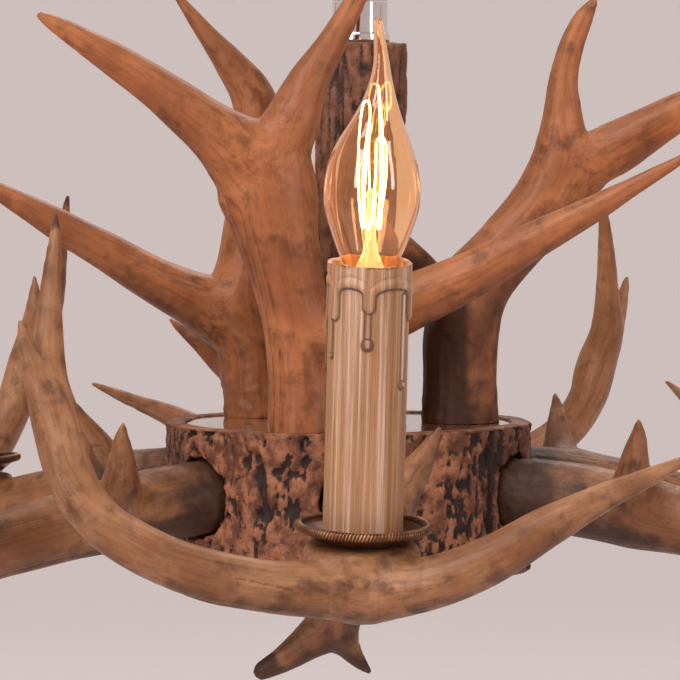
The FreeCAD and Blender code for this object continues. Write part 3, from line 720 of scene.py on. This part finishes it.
def bark_material(name, light, middle, dark):
    """Rough bark: tan ridges over a brown body, darker in the hollows and wherever the mesh carries painted
    shade.
    """
    material, shade = new_material(name)
    hollow = shade.node("Attribute", {"attribute_name": "hollow"}, {}, output=2)
    body = shade.node("NewGeometry", {}, {})
    patches = noise_value(shade, body, 130, detail=5, roughness=0.6)
    grit = noise_value(shade, body, 700, detail=4, roughness=0.65)
    tone = mixed(shade, between(shade, patches, 0.38, 0.62), coloured(middle), coloured(light))
    tone = mixed(shade, between(shade, grit, 0.5, 0.72) * 0.45, tone, coloured(middle))
    # Darkening from the mesh's hollow value: the hollows, and on the stump painted shade too.
    hollow_and_shade_share = between(shade, hollow + (grit - 0.5) * 1.0 + (patches - 0.5) * 1.1, 0.22, 0.82)
    tone = mixed(shade, hollow_and_shade_share * 0.93, tone, coloured(dark))
    bump = shade.node("Bump", {}, {"Strength": 0.6, "Distance": 0.0009, "Height": grit})
    sockets = {
        "Base Color": tone,
        "Roughness": grit * 0.3 + 0.42,
        "Normal": bump,
        "Specular IOR Level": 0.3,
    }
    covered(shade, shade.node("BsdfPrincipled", {}, sockets))
    return material


stump_bark = bark_material("stump_bark", (0.34, 0.138, 0.068), (0.105, 0.035, 0.018), (0.009, 0.004, 0.005))
mesh = even_mesh("hub_stump", STUMP_VOXEL)
points = smoothed(mesh, from_deck(mesh), 5, 0.5)
set_points(mesh, points)
outward = normals_of(mesh)
x, y, z = (points - [HUB_OFFSET, 0, 0]).T
reach, bearing = np.hypot(x, y), np.arctan2(x, -y)
side = between_values(reach, HUB_RADIUS - 8, HUB_RADIUS - 4)
side *= between_values(z, RIM_TOP + 1, RIM_TOP - 2.5)
side *= between_values(z, HUB_FOOT - 0.5, HUB_FOOT + 2)
wrap = np.stack([x, y, z * 0.55], axis=1)
ragged = 0.4 * clouds_at(wrap / 2.2, 38) + 0.25 * clouds_at(wrap / 1.1, 39)
pits = clouds_at(wrap / 9, 31) + 0.55 * clouds_at(wrap / 4.2, 32) + ragged
plates = clouds_at(np.stack([x, y, z * 0.3], axis=1) / 13, 33)
beads = clouds_at(points / 2.6, 34)
around_crack = (np.degrees(bearing) - CRACK_AT) / 180 * math.pi * HUB_RADIUS
around_crack = around_crack + 1.6 * clouds_at(points / 14, 35)
crack = np.exp(-((around_crack / CRACK_WIDTH) ** 2))
deep = between_values(pits, 0.0, 0.7)
lumps = clouds_at(points / 4.6, 36) + 0.6 * clouds_at(points / 2.4, 37)
seams = between_values(np.abs(plates), 0.1, 0.0)
push = -PIT_DEPTH * deep - seams + 0.5 * beads + 0.8 * lumps - CRACK_DEPTH * crack - 0.7
push = side * push
push += (1 - side) * 0.12 * beads * between_values(z, 1, 3)
set_points(mesh, points + outward * push[:, None])
points = points_of(mesh)
dents = np.einsum("ij,ij->i", smoothed(mesh, points, 25, 0.5) - points, outward)
# Painted shadow inside the rim where it meets the deck, and painted shade on the stump's left and right
# ends, which turn away from the light; both join the darker hollows and crack.
rim_shadow = between_values(reach, HUB_RADIUS - 9, HUB_RADIUS - 10) * between_values(z, 2.9, 2.0)
ends = between_values(np.abs(np.degrees(bearing) + 8), 36, 62)
hollow = side * (0.55 * deep + 0.75 * between_values(dents, -0.15, 0.5) + crack + 0.5 * ends - 0.08)
hollow += 0.4 * (1 - side) * rim_shadow + 0.12 * (1 - side)
add_values(mesh, "hollow", hollow)
rim = points[:, 2] > RIM_FOOT
points[rim, 2] = RIM_FOOT + (points[rim, 2] - RIM_FOOT) * (RIM_SEEN - RIM_FOOT) / (RIM_TOP - RIM_FOOT)
place_again(mesh, points)
stump = added("bark_stump", finished(mesh, stump_bark))
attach(stump, "chandelier")
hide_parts("hub_stump")


# ---- hub: the deck ----
# A wooden disc under a thick, clear, glossy varnish. It lies in the stump's recess, and the
# uprights and the post stand on it.
def dressed(node, material):
    """Gives a CAD node its material."""
    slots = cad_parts[node].data.materials
    slots.clear()
    slots.append(material)


deck_varnish, shade = new_material("deck_varnish")
place = shade.node("NewGeometry", {}, {})
rings = shade.node(
    "TexWave",
    {"wave_type": "RINGS", "rings_direction": "Z"},
    {"Vector": place, "Scale": 60, "Distortion": 3, "Detail": 3},
)
tone = mixed(shade, rings, coloured((0.16, 0.065, 0.028)), coloured((0.30, 0.135, 0.062)))
sockets = {
    "Base Color": tone,
    "Roughness": 0.3,
    "Coat Weight": 1.0,
    "Coat Roughness": 0.03,
    "Coat IOR": 1.6,
}
covered(shade, shade.node("BsdfPrincipled", {}, sockets))
dressed("hub_deck", deck_varnish)


# ---- the post ----
# A bark-covered branch that stands on the deck and carries the top flange. It is bored
# through, and hides the hanging rod.
POST_RADIUS = 19  # millimetres, as the depths
FURROW_DEPTH = 1.5
KNOT_DEPTH = 1.2
post_bark = bark_material("post_bark", (0.26, 0.115, 0.065), (0.13, 0.050, 0.026), (0.022, 0.011, 0.013))
mesh = even_mesh("bark_post", VOXEL)
points = smoothed(mesh, from_deck(mesh), 4, 0.5)
set_points(mesh, points)
outward = normals_of(mesh)
x, y, z = points.T
skin = between_values(np.hypot(x, y), POST_RADIUS - 5, POST_RADIUS - 3)
wrap = np.stack([x, y, z * 0.16], axis=1)
furrows = clouds_at(wrap / 5.5, 41)
deep = between_values(np.abs(furrows), 0.2, 0.0)
knots = between_values(clouds_at(points / 8, 42), 0.15, 0.5)
beads = clouds_at(points / 2.4, 43)
push = -FURROW_DEPTH * deep + 0.5 * clouds_at(wrap / 11, 44) - KNOT_DEPTH * knots + 0.3 * beads - 0.3
push = skin * push
set_points(mesh, points + outward * push[:, None])
add_values(mesh, "hollow", skin * (0.6 * deep + 0.5 * knots) + 0.15)
place_again(mesh, points_of(mesh))
post = added("bark_covered_post", finished(mesh, post_bark))
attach(post, "chandelier")
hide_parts("bark_post")


# ---- steel inside the hub ----
# Zinc-plated stock parts: the hollow rod, its nuts, the bottom plate, bolts and nipples, and
# the stud that the chandelier swivels on. They hold it together from inside.
def metal_material(name, base, roughness, scale, metallic=1.0):
    """Metal with faint clouds in its polish."""
    material, shade = new_material(name)
    place = shade.node("NewGeometry", {}, {})
    clouds = noise_value(shade, place, scale, detail=4)
    tone = mixed(shade, clouds, coloured([0.8 * v for v in base]), coloured(base))
    bump = shade.node("Bump", {}, {"Strength": 0.08, "Distance": 0.0003, "Height": clouds})
    sockets = {
        "Base Color": tone,
        "Metallic": metallic,
        "Roughness": clouds * roughness + roughness * 0.5,
        "Normal": bump,
    }
    covered(shade, shade.node("BsdfPrincipled", {}, sockets))
    return material


zinc = metal_material("zinc_plate", (0.62, 0.62, 0.64), 0.3, 400)
ZINC_PARTS = (
    "hanging_rod",
    "rod_nuts",
    "hub_bottom_plate",
    "antler_bolts",
    "candle_nipples",
    "swivel_stud",
)
for node in ZINC_PARTS:
    dressed(node, zinc)


# ---- wiring ----
# A ring of screw terminals under the hub's nut, and a brown round wire to each light. The
# wires run inside the hub and the arms.
def moulded_material(name, base, roughness):
    """Plain moulded plastic, a little uneven in tone and sheen."""
    material, shade = new_material(name)
    place = shade.node("NewGeometry", {}, {})
    clouds = noise_value(shade, place, 500, detail=3)
    darker, lighter = ([factor * v for v in base] for factor in (0.85, 1.1))
    tone = mixed(shade, clouds, coloured(darker), coloured(lighter))
    sockets = {"Base Color": tone, "Roughness": clouds * 0.12 + roughness}
    covered(shade, shade.node("BsdfPrincipled", {}, sockets))
    return material


dressed("terminal_ring", moulded_material("terminal_plastic", (0.03, 0.03, 0.03), 0.35))
dressed("light_wires", moulded_material("wire_sheath", (0.22, 0.13, 0.07), 0.4))


# ---- hanger ----
# Polished nickel: a flange on the post, a swivelling collar, and a yoke whose pin carries a
# bronzed link. The link's upper eye hangs on the ceiling hook.
nickel = metal_material("polished_nickel", (0.86, 0.80, 0.79), 0.07, 60)
for node in ("top_flange", "swivel_collar", "hanger_yoke", "yoke_pin"):
    dressed(node, nickel)
dressed("hanging_link", metal_material("dark_bronze", (0.10, 0.085, 0.045), 0.4, 300, 0.85))


# ---- drip trays ----
# Spun brass dishes with a twisted-rope edge, browned, and brighter on the rope's strands:
# rubbed wear with painted highlights. Each stands on its arm and carries a candle, and a hollow
# nipple holds them together.
LIGHT_FOOT = -0.0287  # the seat under the trays, in metres over the deck
LEAN_OUT = 5  # degrees, as the next two
LEAN_ASIDE = 1.5
TURN_EACH = 77  # one light's pieces are turned so much further than the last one's
TRAY_PROFILE = (
    (5.1, 1.6),
    (11, 1.6),
    (15.4, 1.7),
    (17.5, 2.4),
    (20.5, 3.9),
    (22.3, 5.0),
)
ROPE_RADIUS = 1.7  # millimetres, of the edge's roll
ROPE_CENTRE = (23.5, 5.0)
ROPE_TURNS = 122
TRAY_AROUND = 4 * ROPE_TURNS
TRAY_UNDER = ((22.2, 3.4), (20.6, 2.4), (17.4, 0.3), (16.6, 0.0), (5.1, 0.0))


def light_frame(azimuth, hand):
    """Where a light's own axes stand: the seat's centre, leaning out and to one side."""
    seat = Matrix.Translation((0, -CANDLE_CIRCLE / 1000, height(LIGHT_FOOT)))
    lean = Matrix.Rotation(math.radians(LEAN_OUT), 4, "X")
    lean = lean @ Matrix.Rotation(math.radians(LEAN_ASIDE * hand), 4, "Y")
    return Matrix.Rotation(math.radians(azimuth), 4, "Z") @ seat @ lean


def six_of(kind, mesh, node_start, body):
    """The same piece at each of the six lights, turned a little further each time."""
    for turn, (name, azimuth, hand, _, _) in enumerate(ARMS):
        turned = Matrix.Rotation(math.radians(turn * TURN_EACH), 4, "Z")
        placed = mesh.copy()
        placed.transform(light_frame(azimuth, hand) @ turned)
        piece = added(f"{kind}_{name}", placed)
        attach(piece, body.format(name))
        if node_start:
            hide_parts(f"{node_start}_{name}")


antique, shade = new_material("browned_brass")
place = shade.node("NewGeometry", {}, {})
rubbed_and_glint = shade.node("Attribute", {"attribute_name": "rubbed_and_glint"}, {}, output=2)
radial = shade.node("Attribute", {"attribute_name": "brushed"}, {}, output=1)
lines = noise_value(shade, radial, 1.6, detail=4, roughness=0.65)
clouds = noise_value(shade, place, 160, detail=4)
dark, light, bright = (0.06, 0.018, 0.007), (0.15, 0.054, 0.021), (0.42, 0.24, 0.12)
tone = mixed(shade, between(shade, lines, 0.35, 0.7), coloured(dark), coloured(light))
# Brighter brass on the crests of the rope's strands: rubbed wear and painted highlights.
wear_and_glint = between(shade, rubbed_and_glint + (clouds - 0.5) * 1.4, 0.55, 1.2)
tone = mixed(shade, wear_and_glint, tone, coloured(bright))
bump = shade.node("Bump", {}, {"Strength": 0.2, "Distance": 0.0003, "Height": lines})
sockets = {"Base Color": tone, "Metallic": 0.8, "Roughness": clouds * 0.2 + 0.28, "Normal": bump}
covered(shade, shade.node("BsdfPrincipled", {}, sockets))

rope = []
centre_out, centre_up = ROPE_CENTRE
for angle in np.radians(np.linspace(160, -160, 21)):
    out, up = ROPE_RADIUS * math.cos(angle), ROPE_RADIUS * math.sin(angle)
    rope.append((centre_out + out, centre_up + up))
profile = [*TRAY_PROFILE, *rope, *TRAY_UNDER]
points, faces = lathe(profile, TRAY_AROUND, closed=True)
row = np.repeat(np.arange(len(profile)), TRAY_AROUND) - len(TRAY_PROFILE)
turn = np.tile(np.arange(TRAY_AROUND) / TRAY_AROUND, len(profile))
on_rope = ((row >= 0) & (row < len(rope))).astype(float)
twist = np.cos(2 * math.pi * (ROPE_TURNS * turn + row * 0.13))
circle = np.stack([np.cos(2 * math.pi * turn), np.sin(2 * math.pi * turn), 0 * turn], axis=1)
middle = circle * centre_out + [0, 0, centre_up]
points = points + (points - middle) * (on_rope * (0.13 * twist - 0.1))[:, None]
tray = meshed("drip_tray", points / 1000, faces, antique)
add_values(tray, "rubbed_and_glint", on_rope * (0.55 + 0.5 * twist))
swept = np.stack([circle[:, 0] * 20, circle[:, 1] * 20, (row + len(TRAY_PROFILE)) * 0.05], axis=1)
add_values(tray, "brushed", swept)
six_of("rope_edged_tray", tray, "drip_tray", "chandelier")


# ---- candle sleeves ----
# Cast resin tubes painted like aged wood-grained wax, with wax that has run from the top in
# arches, lobes and long thin drips. Dark glaze is wiped into the edges of the runs.
SLEEVE_RADIUS = 14.7
SLEEVE_BORE = 12.8
SLEEVE_FOOT = 1.6
SLEEVE_TOP = 101.6
AROUND = 240
# The mouth and the bore: (radius, depth below the top)
MOUTH = ((14.6, -0.35), (13.7, -0.1), (SLEEVE_BORE, 0.6), (SLEEVE_BORE, 12), (SLEEVE_BORE, 98))
# Lobes: (degrees from the front, half width, lower end below the top), in millimetres
LOBES = (
    (0, 2.2, 17),
    (76, 2.6, 20.5),
    (119, 2.0, 15),
    (163, 2.4, 21),
    (208, 2.2, 16),
    (255, 2.0, 25),
    (304, 2.4, 20.5),
)
# Drips: (degrees, half width, upper end, lower end, half width of the bead)
DRIPS = (
    (-1.5, 1.0, 14, 30.5, 1.9),
    (57, 0.75, 11, 45, 1.35),
    (298, 0.6, 18, 34.5, 0.85),
    (262, 0.7, 22, 40.5, 1.1),
    (160, 0.9, 17, 33, 1.6),
    (116, 0.7, 12, 27, 1.2),
    (211, 0.8, 14, 38, 1.4),
)
ARCH_TOP = 8.2  # the arches between the lobes, below the top
ARCH_FOOT = 13.5
WAX_FOOT = 50  # no wax below this, so the sleeve's rows are coarser there
WAX_HEIGHT = 0.75
JOINING = 2.2  # how tightly the arches and lobes join

drop = np.concatenate(
    [np.arange(0, WAX_FOOT, 0.3), np.arange(WAX_FOOT, SLEEVE_TOP - SLEEVE_FOOT + 0.01, 2.42)]
)
bearing = np.arange(AROUND) * 360 / AROUND
down, turn = np.meshgrid(drop, bearing, indexing="ij")
per_degree = math.pi * SLEEVE_RADIUS / 180


def to_run(angle, upper, lower):
    """The distance from each place to an upright line on the sleeve, in millimetres."""
    across = ((turn - angle + 180) % 360 - 180) * per_degree
    beyond = down - np.clip(down, upper, lower)
    return np.hypot(across, beyond)


edge = np.full(turn.shape, -20.0)  # how far inside the wax's edge a place lies
for (start, _, _), (end, _, _) in zip(LOBES, (*LOBES[1:], (360, 0, 0))):
    share = ((turn - start) % 360) / (end - start)
    arch = ARCH_FOOT - (ARCH_FOOT - ARCH_TOP) * np.sqrt(np.clip(1 - (2 * share - 1) ** 2, 0, 1))
    edge = np.where(share < 1, np.maximum(edge, (arch - down) * 0.8), edge)
bodies = [edge]
for angle, half_width, lower in LOBES:
    bodies.append(half_width - to_run(angle, 0, lower - half_width))
edge = np.log(sum(np.exp(np.clip(body, -20, 4) * JOINING) for body in bodies)) / JOINING
wax = np.sqrt(np.clip(1 - (1 - np.clip(edge / 1.1, 0, 1)) ** 2, 0, 1)) * WAX_HEIGHT
wax += 0.35 * np.exp(-(((edge - 1.5) / 1.0) ** 2)) - 0.3 * np.exp(-(((edge - 3.2) / 0.45) ** 2))
line = np.abs(edge + 0.15)
for angle, half_width, upper, lower, bead in DRIPS:
    stem = half_width - to_run(angle, upper, lower - bead)
    drop_end = bead - to_run(angle, lower - bead * 1.2, lower - bead)
    for body, round_height in ((stem, 0.8), (drop_end, 1.25)):
        ball = np.sqrt(np.clip(1 - (1 - np.clip(body / (half_width + 0.2), 0, 1)) ** 2, 0, 1))
        wax = np.maximum(wax, ball * round_height)
        line = np.where(np.maximum(body, edge) < 0.3, np.minimum(line, np.abs(body + 0.15)), line)
glaze = np.exp(-((line / 0.42) ** 2))
round_way = np.radians(turn)
fine = np.stack([np.sin(round_way) * 15, np.cos(round_way) * 15, down * 0.012], axis=-1)
fine = fine.reshape(-1, 3)
brushed = (clouds_at(fine / 0.9, 51) * 0.07 + clouds_at(fine / 3, 52) * 0.12).reshape(turn.shape)
radius = SLEEVE_RADIUS - 0.1 + wax + brushed
lift = 0.5 * clouds_at(fine[:AROUND] / 5, 53) - 0.8 * np.cos(round_way[0])  # the uneven mouth
skin = np.stack([np.sin(round_way) * radius, -np.cos(round_way) * radius, SLEEVE_TOP - down], axis=-1)
skin[0, :, 2] += lift - 0.3
mouth = []
for reach, deep in MOUTH:
    right, front = np.sin(round_way[0]) * reach, -np.cos(round_way[0]) * reach
    mouth.append(np.stack([right, front, SLEEVE_TOP - deep + lift - 0.3], axis=-1))
rows = np.concatenate([np.array(mouth)[::-1], skin])
count = len(rows)
row, step = np.divmod(np.arange((count - 1) * AROUND), AROUND)
beside = (step + 1) % AROUND
above, below = row * AROUND, (row + 1) * AROUND
faces = np.stack([above + step, below + step, below + beside, above + beside], axis=1)

wax_paint, shade = new_material("wax_paint")
grain = shade.node("Attribute", {"attribute_name": "grain"}, {}, output=1)
lined = shade.node("Attribute", {"attribute_name": "glaze"}, {}, output=2)
streaks = noise_value(shade, grain, 0.45, detail=4, roughness=0.6)
hairs = noise_value(shade, grain, 2.4, detail=4, roughness=0.7)
bands = noise_value(shade, grain, 0.27, detail=2)
honey, cream = coloured((0.42, 0.215, 0.095)), coloured((0.66, 0.44, 0.32))
tone = mixed(shade, between(shade, bands, 0.42, 0.58), honey, cream)
tone = mixed(shade, between(shade, streaks, 0.44, 0.62) * 0.75, tone, coloured((0.30, 0.14, 0.052)))
tone = mixed(shade, between(shade, hairs, 0.5, 0.66) * 0.65, tone, coloured((0.13, 0.055, 0.022)))
tone = mixed(shade, lined, tone, coloured((0.075, 0.036, 0.024)))
bump = shade.node("Bump", {}, {"Strength": 0.25, "Distance": 0.0003, "Height": hairs})
sockets = {"Base Color": tone, "Roughness": streaks * 0.2 + 0.36, "Normal": bump}
covered(shade, shade.node("BsdfPrincipled", {}, sockets))
sleeve = meshed("sleeve", rows.reshape(-1, 3) / 1000, faces, wax_paint)
inner = np.zeros((len(mouth), AROUND))
glaze = glaze * between_values(down, 0, 2)
add_values(sleeve, "glaze", np.concatenate([inner, glaze]).ravel())
mouth_grain = np.repeat(fine[None, :AROUND], len(mouth), axis=0).reshape(-1, 3)
add_values(sleeve, "grain", np.concatenate([mouth_grain, fine]))
six_of("wax_run_sleeve", sleeve, "candle_sleeve", "chandelier")
dressed("lampholders", moulded_material("ivory_lampholder", (0.62, 0.50, 0.36), 0.4))


# ---- bulbs ----
# Flame-tip candle lamps: blown amber glass drawn out to a bent tip, a glass stem that carries
# loops of glowing filament, and a nickelled screw cap.
GLASS_FOOT = 98.56
GLASS_HEIGHT = 91.0
GLASS_RADIUS = 17.4
GLASS_WALL = 0.7
# The flame shape, as shares of (radius, height), and how the tip closes
FLAME = (
    (0.46, 0.0),
    (0.63, 0.05),
    (0.78, 0.12),
    (0.92, 0.2),
    (0.985, 0.25),
    (1.0, 0.29),
    (0.995, 0.34),
    (0.96, 0.39),
    (0.9, 0.44),
    (0.73, 0.52),
    (0.52, 0.6),
    (0.345, 0.68),
    (0.225, 0.76),
    (0.155, 0.84),
    (0.12, 0.92),
    (0.09, 0.98),
)
TIP = ((0.07, 0.994), (0.04, 0.999), (0.001, 1.0))
NECK_ASIDE = 2.2  # millimetres, to one side
TIP_BACK = 1.6  # and back again towards the tip
STRANDS = 8
STRAND_RADIUS = 0.3
LOOP_FOOT = GLASS_FOOT + 15
LOOP_TOP = GLASS_FOOT + 66
FOOT_REACH = 3.4
TOP_REACHES = (1.6, 4.8, 3.4)
TOP_DROPS = (0, 12, 5, 18)
# The stem, as (radius, height over the glass's foot)
STEM = (
    (0.01, 0),
    (5.4, 0),
    (4.8, 2),
    (3.0, 6),
    (2.0, 11),
    (1.6, 18),
    (1.7, 26),
    (2.1, 27.5),
    (1.4, 29),
    (0.01, 29.4),
)

amber, shade = new_material("amber_glass")
# The glass glows faintly amber by itself: a painted glow for the filament's light held in the glass.
sockets = {
    "Base Color": coloured((1.0, 0.76, 0.52)),
    "Emission Color": coloured((1.0, 0.42, 0.16)),
    "Emission Strength": 0.035,
    "Roughness": 0.0,
    "IOR": 1.45,
    "Transmission Weight": 1.0,
}
place = shade.node("NewGeometry", {}, {})
ripples = noise_value(shade, place, 90, detail=1)
sockets["Normal"] = shade.node("Bump", {}, {"Strength": 0.05, "Distance": 0.0004, "Height": ripples})
covered(shade, shade.node("BsdfPrincipled", {}, sockets))

outline = [(share * GLASS_RADIUS, rise * GLASS_HEIGHT, 0, 0) for share, rise in FLAME]
outline = finely(outline, 6)[:, :2]
outer = [*map(tuple, outline), *((r * GLASS_RADIUS, h * GLASS_HEIGHT) for r, h in TIP)]
inner = [(max(r - GLASS_WALL, 0.001), h) for r, h in outline if r > GLASS_WALL + 0.9]
inner.append((0.001, inner[-1][1] + 1.5))
profile = [*reversed(inner), *outer]
profile = [(r, h + GLASS_FOOT) for r, h in profile]
points, faces = lathe(profile, 72)
rise = np.clip((points[:, 2] - GLASS_FOOT) / GLASS_HEIGHT, 0, 1)
points[:, 0] += NECK_ASIDE * between_values(rise, 0.42, 0.76) - TIP_BACK * between_values(rise, 0.8, 1.0)
glass = meshed("flame_glass", points / 1000, faces, amber)
six_of("flame_glass", glass, "bulb_glass", "bulb_{}")

glowing, shade = new_material("glowing_filament")
place = shade.node("NewGeometry", {}, {})
heat = noise_value(shade, place, 300, detail=2)
tone = mixed(shade, heat, coloured((1.0, 0.60, 0.20)), coloured((1.0, 0.76, 0.36)))
sockets = {"Base Color": coloured((0.8, 0.5, 0.2)), "Emission Color": tone, "Emission Strength": 60.0}
covered(shade, shade.node("BsdfPrincipled", {}, sockets))
loops = bpy.data.curves.new("loops", "CURVE")
loops.dimensions = "3D"
loops.bevel_depth = STRAND_RADIUS / 1000
loops.bevel_resolution = 2
line = loops.splines.new("NURBS")
places = []
for i in range(STRANDS):
    angle = 2 * math.pi * i / STRANDS
    widening = TOP_REACHES[i % 3] - FOOT_REACH
    top = LOOP_TOP - TOP_DROPS[i // 2]
    for share in (0.0, 0.3, 0.65, 1.0)[:: -1 if i % 2 else 1]:  # up one strand and down the next
        reach = FOOT_REACH + widening * share + 1.6 * math.sin(math.pi * share)
        turn_by = angle + 0.5 * share
        up = LOOP_FOOT + (top - LOOP_FOOT) * share
        places.append((reach * math.cos(turn_by), reach * math.sin(turn_by), up))
line.points.add(len(places) - 1)
for point, place in zip(line.points, places):
    point.co = (*(v / 1000 for v in place), 1)
line.order_u = 3
line.use_endpoint_u = True
filament = finished(made_mesh(added("draft", loops)), glowing)
six_of("filament_loops", filament, "bulb_filament", "bulb_{}")

clear, shade = new_material("clear_stem_glass")
# The stem glass glows warm by itself: a painted glow for the filament's light in it.
sockets = {
    "Base Color": coloured((1.0, 0.93, 0.84)),
    "Roughness": 0.02,
    "IOR": 1.45,
    "Transmission Weight": 1.0,
    "Emission Color": coloured((1.0, 0.72, 0.36)),
    "Emission Strength": 0.45,
}
covered(shade, shade.node("BsdfPrincipled", {}, sockets))
points, faces = lathe([(r, h + GLASS_FOOT) for r, h in STEM], 32)
stem = meshed("stem", points / 1000, faces, clear)
six_of("glass_stem", stem, None, "bulb_{}")
cap_metal = metal_material("nickelled_cap", (0.75, 0.70, 0.66), 0.2, 300)
for name, *_ in ARMS:
    dressed(f"bulb_cap_{name}", cap_metal)
